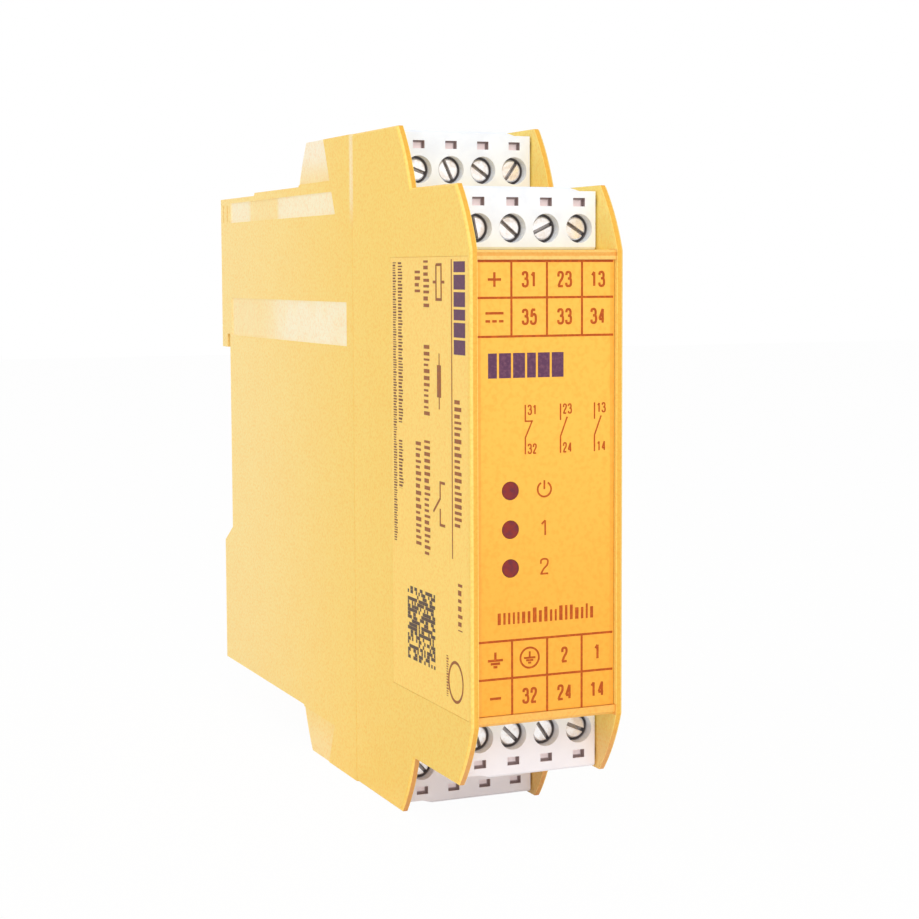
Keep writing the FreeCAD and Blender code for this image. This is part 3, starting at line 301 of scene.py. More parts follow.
def moulded_yellow():
    """Yellow shell plastic with a fine grit and faint clouds."""
    shell = Finish("moulded_yellow", IOR=1.5, Specular_IOR_Level=0.42)
    away = abs(shell.across)
    side = away.ease(HALF_WIDTH - 0.22, HALF_WIDTH - 0.17)
    inner = away.ease(HALF_WIDTH - PLATE_WALL + 0.02, HALF_WIDTH - PLATE_WALL + 0.1, 1.0, 0.0)
    tone = plate_tone(shell, away, side, inner)
    tone = smooth_field_sheen(shell, side, tone)
    tone = seam_and_highlight(shell, side, tone)
    tone = ledge_light_and_shade(shell, inner, tone)
    speck = shell.noise(0.42, 2.0, 0.65)
    cloud = shell.noise(9, 3.0)
    tone = shell.blend(speck.ease(0.42, 0.7, 0.0, 0.5), tone, GRIT_TONE, "MULTIPLY")
    shell.colour(shell.blend(cloud.ease(0.3, 0.7, 0.0, 0.25), tone, CLOUD_TONE, "MULTIPLY"))
    shell.roughness(speck.ease(0.3, 0.7, 0.42, 0.56))
    shell.relief(shell.noise(0.16, 2.0, 0.7), 0.02)
    return shell.material


# ---------------------------------------------------------------- films and inks

UPRIGHTS = (9.5, 9.6)
FILM_FADE = (-30, 12)


def satin(film, tone, speck, grit, deep):
    """A film's satin face over its tone: grit, gloss and a slight waviness."""
    film.colour(film.blend(speck.ease(0.42, 0.7, 0.0, grit), tone, GRIT_TONE, "MULTIPLY"))
    film.roughness(speck.ease(0.3, 0.7, 0.4, 0.48))
    film.relief(film.noise(0.3), deep)
    return film.material


def front_film():
    """Orange yellow printed film, deeper downwards and along its two uprights."""
    film = Finish("front_film", IOR=1.5, Specular_IOR_Level=0.35)
    tone = film.blend(film.up.ease(*FILM_FADE, 1.0, 0.0), paint(254, 193, 76), paint(250, 178, 58))
    tone = film.blend(abs(film.across).ease(*UPRIGHTS, 0.0, 0.55), tone, paint(238, 166, 62))
    return satin(film, tone, film.noise(0.7, 2.0, 0.6), 0.4, 0.006)


def side_film():
    """Clear film on the left plate: the shell's yellow shows through it a little deeper."""
    film = Finish("side_film", IOR=1.5, Specular_IOR_Level=0.35)
    tone = film.blend(film.up.ease(-28, 28), paint(255, 217, 108), paint(254, 216, 112))
    return satin(film, tone, film.noise(0.42, 2.0, 0.65), 0.5, 0.008)


def ink(name, red, green, blue):
    """Screen-printed ink: thin where the screen's mesh left less of it."""
    layer = Finish(name, IOR=1.5, Specular_IOR_Level=0.3)
    cover = layer.noise(0.5, 2.0, 0.6)
    patchy_ink_and_sheen = paint(min(255, red + 26), min(255, green + 22), min(255, blue + 14))
    layer.colour(layer.blend(cover.ease(0.4, 0.75), paint(red, green, blue), patchy_ink_and_sheen))
    layer.roughness(cover.ease(0.3, 0.7, 0.45, 0.6))
    return layer.material


# ---------------------------------------------------------------- plugs and screws

# the screws' rows: the rear ones lie higher and a step further back, and depths are counted from a row's face
SCREW_PITCH = 5.0
SCREW_LEVELS = (34.65, 43.45)
ROW_SPLIT = (40.4, 40.5)
ROW_STEP = 21
PLUG_FACE = 5.9
HEAD_FACE = 7.15
WELL = (2.02, 2.1)
WELL_FLOOR = (1.35, 1.8)
POCKET_RISE = 3.55
POCKET_HALF = 0.6
POCKET_DEEP = (2, 2.4)


def white_nylon():
    """White nylon of the terminal plugs, with a faint painted glow standing for the light it lets through,
    painted shade in the screw wells and round the test pockets, pinkish pocket floors painted as nylon in
    shade, and painted shade over the lower plugs.
    """
    nylon = Finish("white_nylon", IOR=1.53, Specular_IOR_Level=0.45, Emission_Strength=0.09)
    cloud = nylon.noise(3, 3.0)
    tone = nylon.blend(cloud.ease(0.3, 0.7), paint(229, 233, 240), paint(237, 241, 246))
    # painted shade: the lower plugs are painted darker and pinker, as they lie under the lower ledge
    low = nylon.up.ease(-36, -33, 0.7, 0.0)
    tone = nylon.blend(low, tone, paint(232, 224, 228))

    rear_row = abs(nylon.up).ease(*ROW_SPLIT)
    depth = nylon.depth - rear_row * ROW_STEP - PLUG_FACE
    beside = (nylon.across + SCREW_PITCH * POLES) % SCREW_PITCH - SCREW_PITCH / 2
    rise = abs(nylon.up) - rear_row * (SCREW_LEVELS[1] - SCREW_LEVELS[0]) - SCREW_LEVELS[0]
    # painted shade deep in each screw well
    well_shade = (beside * beside + rise * rise).root().ease(*WELL, 1.0, 0.0) * depth.ease(*WELL_FLOOR)
    tone = nylon.blend(well_shade * 0.85, tone, paint(84, 68, 66))

    pocket = rise.inside(POCKET_RISE - POCKET_HALF, POCKET_RISE + POCKET_HALF, 0.02)
    pocket = pocket * depth.ease(0.04, 0.12) * depth.ease(*POCKET_DEEP, 1.0, 0.0)
    # painted shade round the pocket's top and sides; its pinkish floor is painted as nylon in shade, a little
    # paler on the lower rows
    pocket_rim_shade = rise.ease(POCKET_RISE + 0.2, POCKET_RISE + 0.42) | abs(beside).ease(POCKET_HALF, POCKET_HALF + 0.2)
    pale = nylon.blend(low, paint(246, 226, 224), paint(250, 234, 234))
    tone = nylon.blend(pocket * 0.9, tone, nylon.blend(pocket_rim_shade, pale, paint(128, 102, 98)))

    nylon.colour(tone)
    # painted glow: the nylon gives off a little light in its own colour, standing for the light it lets
    # through
    nylon.feed(nylon.shader.inputs["Emission Color"], tone)
    nylon.roughness(cloud.ease(0.3, 0.7, 0.36, 0.46))
    nylon.relief(nylon.noise(0.12, 2.0, 0.7), 0.008)
    return nylon.material


def bright_zinc():
    """Bright zinc plated steel of the screws, with painted shade in the driver slots and round the heads."""
    zinc = Finish("bright_zinc", Metallic=0.85)
    stain = zinc.noise(1.2, 3.0, 0.6)
    tone = zinc.blend(stain.ease(0.35, 0.75), paint(250, 248, 248), paint(222, 210, 200))
    depth = zinc.depth - abs(zinc.up).ease(*ROW_SPLIT) * ROW_STEP - HEAD_FACE
    # painted shade: darker deeper than the head's face, in the slots and round the head
    zinc.colour(zinc.blend(depth.ease(0.3, 0.8, 0.0, 0.7), tone, paint(92, 80, 76)))
    zinc.roughness(stain.ease(0.3, 0.7, 0.26, 0.42))
    zinc.relief(zinc.noise(0.1), 0.006)
    return zinc.material


# ---------------------------------------------------------------- other finishes

def plain_metal(name, light, dark, low, high):
    """A metal of two tones, with smudges that change its gloss."""
    metal = Finish(name, Metallic=1.0)
    stain = metal.noise(1.5, 3.0, 0.6)
    metal.colour(metal.blend(stain.ease(0.35, 0.7), paint(*light), paint(*dark)))
    metal.roughness(stain.ease(0.3, 0.7, low, high))
    metal.relief(metal.noise(0.15), 0.006)
    return metal.material


def plain_plastic(name, light, dark, low, high):
    """A moulded plastic of two near tones and a fine grain."""
    plastic = Finish(name, IOR=1.5, Specular_IOR_Level=0.4)
    cloud = plastic.noise(2.5, 3.0)
    plastic.colour(plastic.blend(cloud.ease(0.3, 0.7), paint(*light), paint(*dark)))
    plastic.roughness(cloud.ease(0.3, 0.7, low, high))
    plastic.relief(plastic.noise(0.15, 2.0, 0.6), 0.01)
    return plastic.material


def lamp_window():
    """Dark red light guide under a clear gloss."""
    window = Finish("lamp_window", IOR=1.49, Specular_IOR_Level=0.2, Coat_Weight=0.1, Coat_Roughness=0.2)
    cloud = window.noise(1.1, 2.0)
    window.colour(window.blend(cloud.ease(0.3, 0.7), paint(112, 44, 58), paint(144, 48, 38)))
    window.roughness(cloud.ease(0.3, 0.7, 0.16, 0.26))
    return window.material


def dress(material, *names):
    """These nodes of the model wear this material."""
    for name in names:
        slots = nodes[name].material_slots
        if not slots:
            nodes[name].data.materials.append(material)
        for material_slot in slots:
            material_slot.material = material


def add_object(name, data):
    """A new object in the scene."""
    made = bpy.data.objects.new(name, data)
    bpy.context.scene.collection.objects.link(made)
    return made


def add_piece(name, mesh, material, body):
    """A new piece from a finished mesh, on its body and in its material slot."""
    bmesh.ops.recalc_face_normals(mesh, faces=mesh.faces)
    shape = bpy.data.meshes.new(name)
    mesh.to_mesh(shape)
    mesh.free()
    shape.materials.append(material)
    piece = add_object(name, shape)
    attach(piece, body)
    return piece


# ---------------------------------------------------------------- printing

# print stands this high on its film, and strips that cross differ by a step
INK = 0.02
INK_STEP = 0.001
INK_STEPS = 12
SHARPEST = 0.4  # how far a line's mitre may reach out, as a cosine
SIGN_WIDTH = 0.6
SIGN_ADVANCE = 0.98
TALL_SHARE = 0.55
SHORTER = 0.22


def rounded(points, cuts=3):
    """An open path with its inner corners cut round, and its ends kept."""
    for _ in range(cuts):
        cut = [points[0]]
        for (x0, y0), (x1, y1) in zip(points, points[1:]):
            cut.append((0.75 * x0 + 0.25 * x1, 0.75 * y0 + 0.25 * y1))
            cut.append((0.25 * x0 + 0.75 * x1, 0.25 * y0 + 0.75 * y1))
        points = cut + [points[-1]]
    return points


# each figure's strokes in a cell 0.6 wide and 1 high
FIGURES = {
    "1": [[(0.1, 0.76), (0.36, 1.0)], [(0.36, 1.0), (0.36, 0.0)]],
    "2": [
        rounded([(0.04, 0.68), (0.04, 1.0), (0.56, 1.0), (0.56, 0.6), (0.26, 0.36), (0.05, 0.0)]),
        [(0.0, 0.0), (0.58, 0.0)],
    ],
    "3": [
        rounded([(0.03, 0.78), (0.05, 1.0), (0.54, 1.0), (0.54, 0.54), (0.22, 0.54)]),
        rounded([(0.22, 0.54), (0.6, 0.54), (0.6, 0.0), (0.04, 0.0), (0.02, 0.24)]),
    ],
    "4": [[(0.44, 0.0), (0.44, 1.0)], [(0.44, 1.0), (0.03, 0.28)], [(0.0, 0.26), (0.6, 0.26)]],
    "5": [
        [(0.54, 1.0), (0.1, 1.0)],
        [(0.14, 1.0), (0.07, 0.48)],
        rounded([(0.07, 0.5), (0.26, 0.68), (0.6, 0.68), (0.6, 0.0), (0.04, 0.0), (0.02, 0.24)]),
    ],
}


class Sheet:
    """Flat print on a film: outlines in millimetres, gathered and then laid on its face as thin ink."""

    def __init__(self, name, middle, right, up):
        self.name = name
        self.mesh = bmesh.new()
        self.bands = 0
        self.lay = Matrix((right, up, right.cross(up))).transposed().to_4x4()
        self.lay.translation = middle

    def band(self, left, right, closed=False):
        """A solid strip of ink between two rows of points, a hair off the height of those it crosses."""
        top = INK + INK_STEP * (self.bands % INK_STEPS)
        self.bands += 1
        rows = []
        for points in (left, right):
            for height in (0, top):
                spots = [(x * MM, y * MM, height * MM) for x, y in points]
                rows.append([self.mesh.verts.new(spot) for spot in spots])
        left_low, left_high, right_low, right_high = rows
        count = len(left)
        for i in range(count if closed else count - 1):
            j = (i + 1) % count
            edges = (left_high, right_high, right_low, left_low, left_high)
            for a, b in zip(edges, edges[1:]):
                self.mesh.faces.new((a[i], b[i], b[j], a[j]))
        if not closed:
            for i in (0, -1):
                self.mesh.faces.new((left_low[i], left_high[i], right_high[i], right_low[i]))

    def bar(self, x0, y0, x1, y1):
        self.band([(x0, y0), (x0, y1)], [(x1, y0), (x1, y1)])

    def line(self, points, width):
        """A line through these points with mitred corners."""
        spots = [Vector(point) for point in points]
        ways = [(b - a).normalized() for a, b in zip(spots, spots[1:])]
        left, right = [], []
        for spot, before, after in zip(spots, ways[:1] + ways, ways + ways[-1:]):
            way = (before + after).normalized()
            side = Vector((-way.y, way.x)) * (width / 2 / max(SHARPEST, way.dot(before)))
            left.append(spot + side)
            right.append(spot - side)
        self.band(left, right)

    def ring(self, x, y, radius, width, stretch=1.0, steps=40):
        """A closed ring, stretched along y."""
        turns = [2 * math.pi * i / steps for i in range(steps)]
        outer, inner = [
            [(x + reach * math.cos(turn), y + reach * stretch * math.sin(turn)) for turn in turns]
            for reach in (radius, radius - width)
        ]
        self.band(outer, inner, closed=True)

    def figures(self, text, x, y, height, width, squeeze=1.0):
        """Plain numbers centred on a place."""
        advance = height * SIGN_ADVANCE * squeeze
        left = x - ((len(text) - 1) * advance + height * SIGN_WIDTH * squeeze) / 2
        for number, figure in enumerate(text):
            for stroke in FIGURES[figure]:
                start = left + number * advance
                self.line([(start + a * height * squeeze, y + (b - 0.5) * height) for a, b in stroke], width)

    def plus(self, x, y, size, width):
        self.bar(x - size / 2, y - width / 2, x + size / 2, y + width / 2)
        self.bar(x - width / 2, y + width / 2, x + width / 2, y + size / 2)
        self.bar(x - width / 2, y - size / 2, x + width / 2, y - width / 2)

    def earth(self, x, y, size, width):
        """The earth sign: a lead down to three shrinking bars."""
        self.bar(x - width / 2, y + size * 0.05, x + width / 2, y + size * 0.5)
        for number, share in enumerate((1.0, 0.62, 0.26)):
            level = y - number * size * 0.2
            self.bar(x - size * share / 2, level - width / 2, x + size * share / 2, level + width / 2)

    def direct_current(self, x, y, size, width):
        """A full line over three dashes."""
        self.bar(x - size / 2, y + size * 0.14, x + size / 2, y + size * 0.14 + width)
        for number in range(3):
            left = x - size / 2 + number * size * 0.375
            self.bar(left, y - size * 0.14 - width, left + size * 0.25, y - size * 0.14)

    def supply(self, x, y, size, width):
        """The power sign: an upright line in a broken ring."""
        turns = [math.radians(120 + 300 * i / 24) for i in range(25)]
        self.line([(x + size / 2 * math.cos(turn), y + size / 2 * math.sin(turn)) for turn in turns], width)
        self.bar(x - width / 2, y, x + width / 2, y + size * 0.6)

    def strokes(self, x0, x1, low, high, gap, breaks=()):
        """A row of plain upright strokes of uneven width, in the place of a line of words."""
        place = x0
        while place < x1:
            width = random.uniform(0.7, 1.4) * gap
            top = high if random.random() < TALL_SHARE else high - (high - low) * SHORTER
            if not any(start < place < stop for start, stop in breaks):
                self.bar(place, low, min(place + width, x1), top)
            place += width + gap

    def lay_down(self, material, slot):
        """The finished print as a piece on the housing."""
        self.mesh.transform(self.lay)
        add_piece(self.name, self.mesh, material, "housing")


def front_sheet(name):
    """Print on the front film: x runs right and y up from the film's middle."""
    low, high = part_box("front_label")
    middle = Vector(((low.x + high.x) / 2, low.y, (low.z + high.z) / 2))
    return Sheet(name, middle, Vector((1, 0, 0)), Vector((0, 0, 1)))


def side_sheet(name):
    """Print on the left plate, read downwards: x runs down from the middle and y towards the front edge."""
    low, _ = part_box("side_label")
    return Sheet(name, Vector((low.x, cad_box[0].y, 0)), Vector((0, 0, -1)), Vector((0, -1, 0)))


RULE = 0.3
TABLE_EDGE = 10.0
TABLE_COLUMNS = (-10.0, -5.1, 0.1, 5.3, 10.0)
TABLE_TOP = (30.2, 25.4, 20.3)
TABLE_BOTTOM = (-20.3, -25.4, -30.6)
FIGURE_HEIGHT = 1.86
FIGURE_STROKE = 0.33
FIGURE_SQUEEZE = 0.65
RINGED_STROKE = FIGURE_STROKE * 0.8
CONTACT_STROKE = 0.2
CONTACT_FIGURE = 1.2
CONTACT_TOP, CONTACT_BREAK, BLADE_TIP, BLADE_FOOT, CONTACT_LOW = 11.2, 9.0, 9.4, 6.8, 4.6
CONTACTS = ((-3.1, "31", "32", True), (2.1, "23", "24", False), (7.2, "13", "14", False))
LAMP_SIGNS = (("supply", -0.2), ("1", -5.4), ("2", -10.6))
LAMP_SIGN_SIZE = 2.0
LAMP_SIGN_STROKE = 0.24


def rule_table(sheet, rules, top, bottom):
    """Level rules with the uprights across them."""
    for level in rules:
        sheet.bar(-TABLE_EDGE, level - RULE / 2, TABLE_EDGE, level + RULE / 2)
    for place in TABLE_COLUMNS[1:-1]:
        sheet.bar(place - RULE / 2, bottom, place + RULE / 2, top)


def cell(levels, row, column):
    """The middle of a table's cell."""
    middle = (TABLE_COLUMNS[column] + TABLE_COLUMNS[column + 1]) / 2
    return middle, (levels[row] + levels[row + 1]) / 2


def terminal_tables(sheet):
    """Ruled tables above and below, with the contact numbers and plain signs in their cells."""
    rule_table(sheet, TABLE_TOP, TABLE_TOP[0], TABLE_TOP[-1])
    rule_table(sheet, TABLE_BOTTOM[:-1], TABLE_BOTTOM[0], TABLE_BOTTOM[-1])
    numbers = {
        TABLE_TOP: ((None, "31", "23", "13"), (None, "35", "33", "34")),
        TABLE_BOTTOM: ((None, None, "2", "1"), (None, "32", "24", "14")),
    }
    for levels, rows in numbers.items():
        for row, texts in enumerate(rows):
            for column, text in enumerate(texts):
                if text:
                    middle = cell(levels, row, column)
                    sheet.figures(text, *middle, FIGURE_HEIGHT, FIGURE_STROKE, FIGURE_SQUEEZE)
    sheet.plus(*cell(TABLE_TOP, 0, 0), 1.9, FIGURE_STROKE)
    sheet.direct_current(*cell(TABLE_TOP, 1, 0), 2.6, FIGURE_STROKE)
    sheet.earth(*cell(TABLE_BOTTOM, 0, 0), 2.2, FIGURE_STROKE)
    x, y = cell(TABLE_BOTTOM, 0, 1)
    sheet.earth(x, y, 1.7, RINGED_STROKE)
    sheet.ring(x, y, 1.5, RINGED_STROKE)
    x, y = cell(TABLE_BOTTOM, 1, 0)
    sheet.bar(x - 0.8, y - FIGURE_STROKE / 2, x + 0.8, y + FIGURE_STROKE / 2)


def contact_signs(sheet):
    """One normally closed and two normally open contacts, each with its two numbers."""
    for left, upper, lower, closed in CONTACTS:
        lead = [(left, CONTACT_TOP), (left, CONTACT_BREAK)]
        if closed:
            lead.append((left + 1.1, CONTACT_BREAK))
        sheet.line(lead, CONTACT_STROKE)
        tip = CONTACT_BREAK if closed else BLADE_TIP
        blade = [(left + 1.0, tip), (left, BLADE_FOOT), (left, CONTACT_LOW)]
        sheet.line(blade, CONTACT_STROKE)
        for text, level in ((upper, 10.5), (lower, 5.3)):
            sheet.figures(text, left + 1.02, level, CONTACT_FIGURE, CONTACT_STROKE, 0.62)


def front_print():
    """Everything on the front film apart from its dark mark."""
    sheet = front_sheet("front_print")
    terminal_tables(sheet)
    contact_signs(sheet)
    for sign, level in LAMP_SIGNS:
        draw = sheet.supply if sign == "supply" else partial(sheet.figures, sign)
        draw(-0.3, level, LAMP_SIGN_SIZE, LAMP_SIGN_STROKE)
    sheet.strokes(-7.2, 7.4, -18.1, -16.1, 0.38)
    sheet.lay_down(ink("front_ink", 180, 76, 4), "film_front")


def plain_mark(sheet, x0, x1, low, high):
    """Upright blocks of two widths: the plain field that stands for a name."""
    place = x0
    for number in range(6):
        width = (x1 - x0) * (0.158 if number % 3 else 0.116)
        sheet.bar(place, low, place + width, high)
        place += width + (x1 - x0) * 0.028


def dark_print():
    """The dark violet print of both films."""
    violet = ink("violet_ink", 92, 52, 82)
    front = front_sheet("front_mark")
    plain_mark(front, -8.5, 2.5, 14.8, 18.1)
    front.lay_down(violet, "film_front")
    side = side_sheet("side_mark")
    plain_mark(side, -30.2, -17.9, -5.6, -1.8)
    side.lay_down(violet, "film_side")


SIGN_STROKE = 0.38
WORD_GAP = 0.42
FINE_GAP = 0.18
SIDE_WORDS = (
    (-30.4, -24.0, -16.2, -14.2),
    (-29.0, -26.0, -19.4, -17.5),
    (-18.8, -9.0, -16.2, -14.2),
    (-5.6, 10.4, -16.2, -14.2),
    (-5.2, 9.4, -19.4, -17.5),
)
FIELD_CELLS = 20
FIELD_SHARE = 0.62
FIELD_LEFT, FIELD_RIGHT = 15.6, 26.1
FIELD_LOW, FIELD_HIGH = -22.8, -12.6
FIELD_GAP = 0.02


def coil_sign(sheet):
    """A relay's coil: a box with a lead on each long side."""
    box = [(-29.8, -11.7), (-29.8, -9.9), (-25.1, -9.9), (-25.1, -11.7), (-29.8, -11.7)]
    sheet.line(box, SIGN_STROKE)
    sheet.bar(-27.64, -9.8, -27.26, -8.8)
    sheet.bar(-27.64, -12.8, -27.26, -11.7)


def fuse_sign(sheet):
    """A fuse: a full bar with a lead at each end."""
    sheet.bar(-16.2, -11.5, -11.8, -10.1)
    sheet.bar(-17.8, -10.9, -16.2, -10.6)
    sheet.bar(-11.8, -10.9, -10.2, -10.6)


def switch_sign(sheet):
    """A contact between two leads."""
    sheet.line([(-0.2, -8.9), (-0.2, -10.6), (2.0, -10.6), (4.0, -13.0)], SIGN_STROKE)
    sheet.line([(3.4, -10.6), (5.6, -10.6), (5.6, -8.9)], SIGN_STROKE)


def side_print():
    """Brown signs and rows of strokes on the left plate. Depths behind the front edge are negative."""
    sheet = side_sheet("side_print")
    sheet.bar(-30.5, -6.5, 9.7, -6.2)
    sheet.strokes(-11.8, 5.4, -5.5, -3.2, WORD_GAP)
    coil_sign(sheet)
    fuse_sign(sheet)
    switch_sign(sheet)
    for word in SIDE_WORDS:
        sheet.strokes(*word, WORD_GAP)
    sheet.ring(26.4, -5.4, 2.9, 0.4, 0.9)
    sheet.strokes(12.8, 19.2, -4.5, -3.1, 0.5)
    sheet.strokes(23.2, 28.8, -8.6, -7.9, FINE_GAP)
    sheet.lay_down(ink("side_ink", 146, 84, 38), "film_side")
    small = side_sheet("small_print")
    small.strokes(-30.2, 2.0, -25.8, -24.2, 0.22, ((-7.5, -5.0),))
    small.strokes(-30.2, 9.8, -27.8, -26.6, FINE_GAP)
    small.lay_down(ink("small_ink", 112, 62, 34), "film_side")


def code_field():
    """A square field of scattered small squares."""
    sheet = side_sheet("square_field")
    wide = (FIELD_RIGHT - FIELD_LEFT) / FIELD_CELLS
    tall = (FIELD_HIGH - FIELD_LOW) / FIELD_CELLS
    for row in range(FIELD_CELLS):
        for column in range(FIELD_CELLS):
            if random.random() < FIELD_SHARE:
                x, y = FIELD_LEFT + column * wide, FIELD_LOW + row * tall
                sheet.bar(x + FIELD_GAP, y + FIELD_GAP, x + wide - FIELD_GAP, y + tall - FIELD_GAP)
    sheet.lay_down(ink("grey_ink", 84, 66, 54), "film_side")


# ---------------------------------------------------------------- room, light and camera

FLOOR_WHITE = 0.97
ROOM_LIGHT = 0.62


def backdrop():
    """Pale floor under the relay. The camera, gloss and glass see it as plain white with a soft shadow."""
    low, high = cad_box
    middle = (low + high) / 2
    bpy.ops.mesh.primitive_plane_add(size=3, location=(middle.x, middle.y, low.z - 0.02 * MM))
    floor = bpy.context.object
    floor.name = "floor"
    look = Finish("floor_paint", Roughness=0.9, Specular_IOR_Level=0.0)
    look.colour(look.blend(look.noise(80), paint(250, 249, 248), paint(253, 252, 251)))
    path = look.node("ShaderNodeLightPath", {}, {}).outputs
    seen = [Amount(look, path[kind]) for kind in ("Is Camera Ray", "Is Glossy Ray", "Is Transmission Ray")]
    white = look.node("ShaderNodeEmission", {}, {"Color": (1, 1, 1, 1), "Strength": 1.0})
    share = (seen[0] + seen[1] + seen[2]) * FLOOR_WHITE
    mixed = look.node("ShaderNodeMixShader", {}, {0: share, 1: look.shader.outputs[0], 2: white.outputs[0]})
    look.feed(look.tree.nodes["Material Output"].inputs["Surface"], mixed.outputs[0])
    floor.data.materials.append(look.material)


def surroundings():
    """Even white light from all round. The camera sees it as white."""
    world = bpy.data.worlds.new("studio")
    bpy.context.scene.world = world
    world.use_nodes = True
    tree = world.node_tree
    soft = tree.nodes["Background"]
    soft.inputs["Color"].default_value = (1.0, 0.99, 0.98, 1.0)
    soft.inputs["Strength"].default_value = ROOM_LIGHT
    bright = tree.nodes.new("ShaderNodeBackground")
    bright.inputs["Color"].default_value = (1.0, 1.0, 1.0, 1.0)
    bright.inputs["Strength"].default_value = 1.0
    path = tree.nodes.new("ShaderNodeLightPath")
    either = tree.nodes.new("ShaderNodeMath")
    either.operation = "MAXIMUM"
    tree.links.new(path.outputs["Is Camera Ray"], either.inputs[0])
    tree.links.new(path.outputs["Is Glossy Ray"], either.inputs[1])
    mix = tree.nodes.new("ShaderNodeMixShader")
    tree.links.new(either.outputs[0], mix.inputs[0])
    tree.links.new(soft.outputs[0], mix.inputs[1])
    tree.links.new(bright.outputs[0], mix.inputs[2])
    tree.links.new(mix.outputs[0], tree.nodes["World Output"].inputs["Surface"])


def soft_box(name, place, target, size, power):
    """A square soft lamp that looks at a point."""
    lamp = bpy.data.lights.new(name, "AREA")
    lamp.size = size
    lamp.energy = power
    holder = add_object(name, lamp)
    holder.location = place
    holder.rotation_euler = (Vector(target) - Vector(place)).to_track_quat("-Z", "Y").to_euler()


def lamps():
    """A key from the front left, a weaker one from the left, and a small one low in front."""
    middle = (cad_box[0] + cad_box[1]) / 2
    soft_box("key", middle + Vector((-0.25, -0.75, 0.65)), middle, 0.6, 3.2)
    soft_box("side", middle + Vector((-0.9, 0.1, 0.35)), middle, 0.8, 1.8)
    soft_box("fill", middle + Vector((0.0, -0.85, -0.03)), middle + Vector((0, 0, -0.04)), 0.3, 1.6)


CAMERA_PLACE = (-112.5, -342.1, 28.9)
CAMERA_AZIMUTH = -23.2
CAMERA_ELEVATION = 4.78
CAMERA_ROLL = -0.24
CAMERA_LENS = 76.11
CAMERA_SHIFT = (0.0, -0.0281)


def camera():
    """The camera close to the relay, front left and slightly above it."""
    lens = bpy.data.cameras.new("camera")
    lens.lens = CAMERA_LENS
    lens.sensor_width = 36.0
    lens.shift_x, lens.shift_y = CAMERA_SHIFT
    lens.clip_start = 0.01
    holder = add_object("camera", lens)
    holder.location = Vector(CAMERA_PLACE) * MM
    aim = (math.radians(90 - CAMERA_ELEVATION), 0, math.radians(CAMERA_AZIMUTH))
    turn = Euler(aim, "XYZ").to_matrix()
    holder.rotation_euler = (turn @ Matrix.Rotation(math.radians(CAMERA_ROLL), 3, "Z")).to_euler()
    bpy.context.scene.camera = holder
    bpy.context.scene.view_settings.view_transform = "Standard"


# ---------------------------------------------------------------- latch spring

SPRING_WIRE = 0.35
SPRING_TURNS = 5
CLOSED_RISE = 1.1
SPRING_STEPS = 24
WIRE_SIDES = 8


def latch_coil(steel):
    """Round wire spring with a closed turn at each end."""
    low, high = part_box("latch_spring")
    foot = Vector(((low.x + high.x) / 2, (low.y + high.y) / 2, low.z))
    wire = SPRING_WIRE / 2 * MM
    reach = (high.x - low.x) / 2 - wire
    closed = SPRING_WIRE * MM * CLOSED_RISE
    pitch = (high.z - low.z - wire * 2 - closed * 2) / SPRING_TURNS
    level = Vector((0, 0, 1))
    mesh = bmesh.new()
    rings = []
    for step in range(SPRING_STEPS * (SPRING_TURNS + 2) + 1):
        turn = step / SPRING_STEPS
        open_turns = min(max(turn - 1, 0), SPRING_TURNS)
        out = Vector((math.cos(turn * 2 * math.pi), math.sin(turn * 2 * math.pi), 0))
        middle = foot + out * reach
        middle.z += wire + (turn - open_turns) * closed + open_turns * pitch
        ring = []
        for number in range(WIRE_SIDES):
            side = number * 2 * math.pi / WIRE_SIDES
            ring.append(mesh.verts.new(middle + (out * math.cos(side) + level * math.sin(side)) * wire))
        rings.append(ring)
    for ring, following in zip(rings, rings[1:]):
        for i in range(WIRE_SIDES):
            mesh.faces.new((ring[i - 1], ring[i], following[i], following[i - 1])).smooth = True
    for ring in (rings[0], rings[-1]):
        mesh.faces.new(ring)
    coil = add_piece("latch_coil", mesh, steel, "housing")
    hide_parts("latch_spring")
    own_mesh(coil)


# ---------------------------------------------------------------- the whole scene

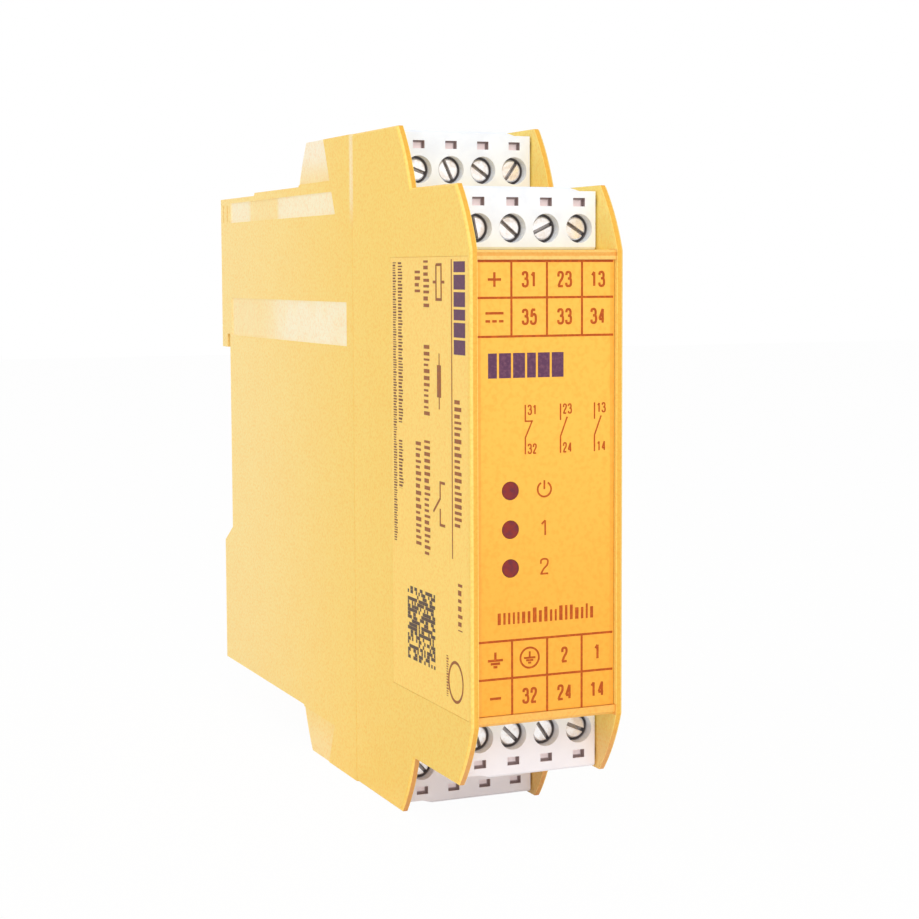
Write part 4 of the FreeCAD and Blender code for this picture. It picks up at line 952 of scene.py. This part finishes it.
def each_pole(kind):
    """The names of a kind of node that every pole has."""
    return [f"{kind}_{row}_{pole + 1}" for row in ROWS for pole in range(POLES)]


def each_row(kind):
    """The names of a kind of node that every row has."""
    return [f"{kind}_{row}" for row in ROWS]


# name of the finish, its two tones, its gloss from and to, and the nodes that wear it
METALS = (
    ("cage_plating", (214, 212, 206), (176, 172, 166), 0.3, 0.45, each_pole("cage")),
    ("tinned_copper", (222, 220, 214), (196, 188, 176), 0.25, 0.4, ["header_pins"] + each_row("contacts")),
    ("can_metal", (204, 204, 206), (180, 180, 184), 0.35, 0.5, ["smoothing_capacitors"]),
)
PLASTICS = (
    ("header_black", (48, 48, 50), (36, 36, 38), 0.4, 0.55, each_row("header")),
    ("board_lacquer", (24, 96, 58), (18, 80, 48), 0.25, 0.4, ["main_board"]),
    ("relay_cover", (236, 236, 232), (226, 226, 222), 0.3, 0.42, ["relay_1", "relay_2"]),
    ("lamp_epoxy", (70, 68, 66), (56, 54, 52), 0.3, 0.4, ["signal_lamps"]),
    ("coil_tape", (196, 176, 90), (176, 156, 76), 0.3, 0.4, ["supply_transformer"]),
    ("chip_epoxy", (38, 38, 40), (28, 28, 30), 0.45, 0.6, ["controllers"]),
    ("fuse_glass", (226, 234, 234), (212, 222, 222), 0.08, 0.15, ["fuse"]),
    ("latch_yellow", (246, 200, 92), (250, 210, 108), 0.4, 0.5, ["rail_latch"]),
)


def dress_model():
    """Every node of the model gets its finish. The latch spring is drawn anew."""
    dress(moulded_yellow(), "front_housing", "rear_housing")
    dress(front_film(), "front_label")
    dress(side_film(), "side_label")
    dress(white_nylon(), *each_row("plug"))
    dress(bright_zinc(), *each_pole("screw"))
    dress(lamp_window(), "light_guides")
    for make, finishes in ((plain_metal, METALS), (plain_plastic, PLASTICS)):
        for name, light, dark, low, high, wearers in finishes:
            dress(make(name, light, dark, low, high), *wearers)
    latch_coil(plain_metal("spring_steel", (190, 190, 194), (150, 150, 156), 0.25, 0.4))


dress_model()
front_print()
dark_print()
side_print()
code_field()
backdrop()
surroundings()
lamps()
camera()
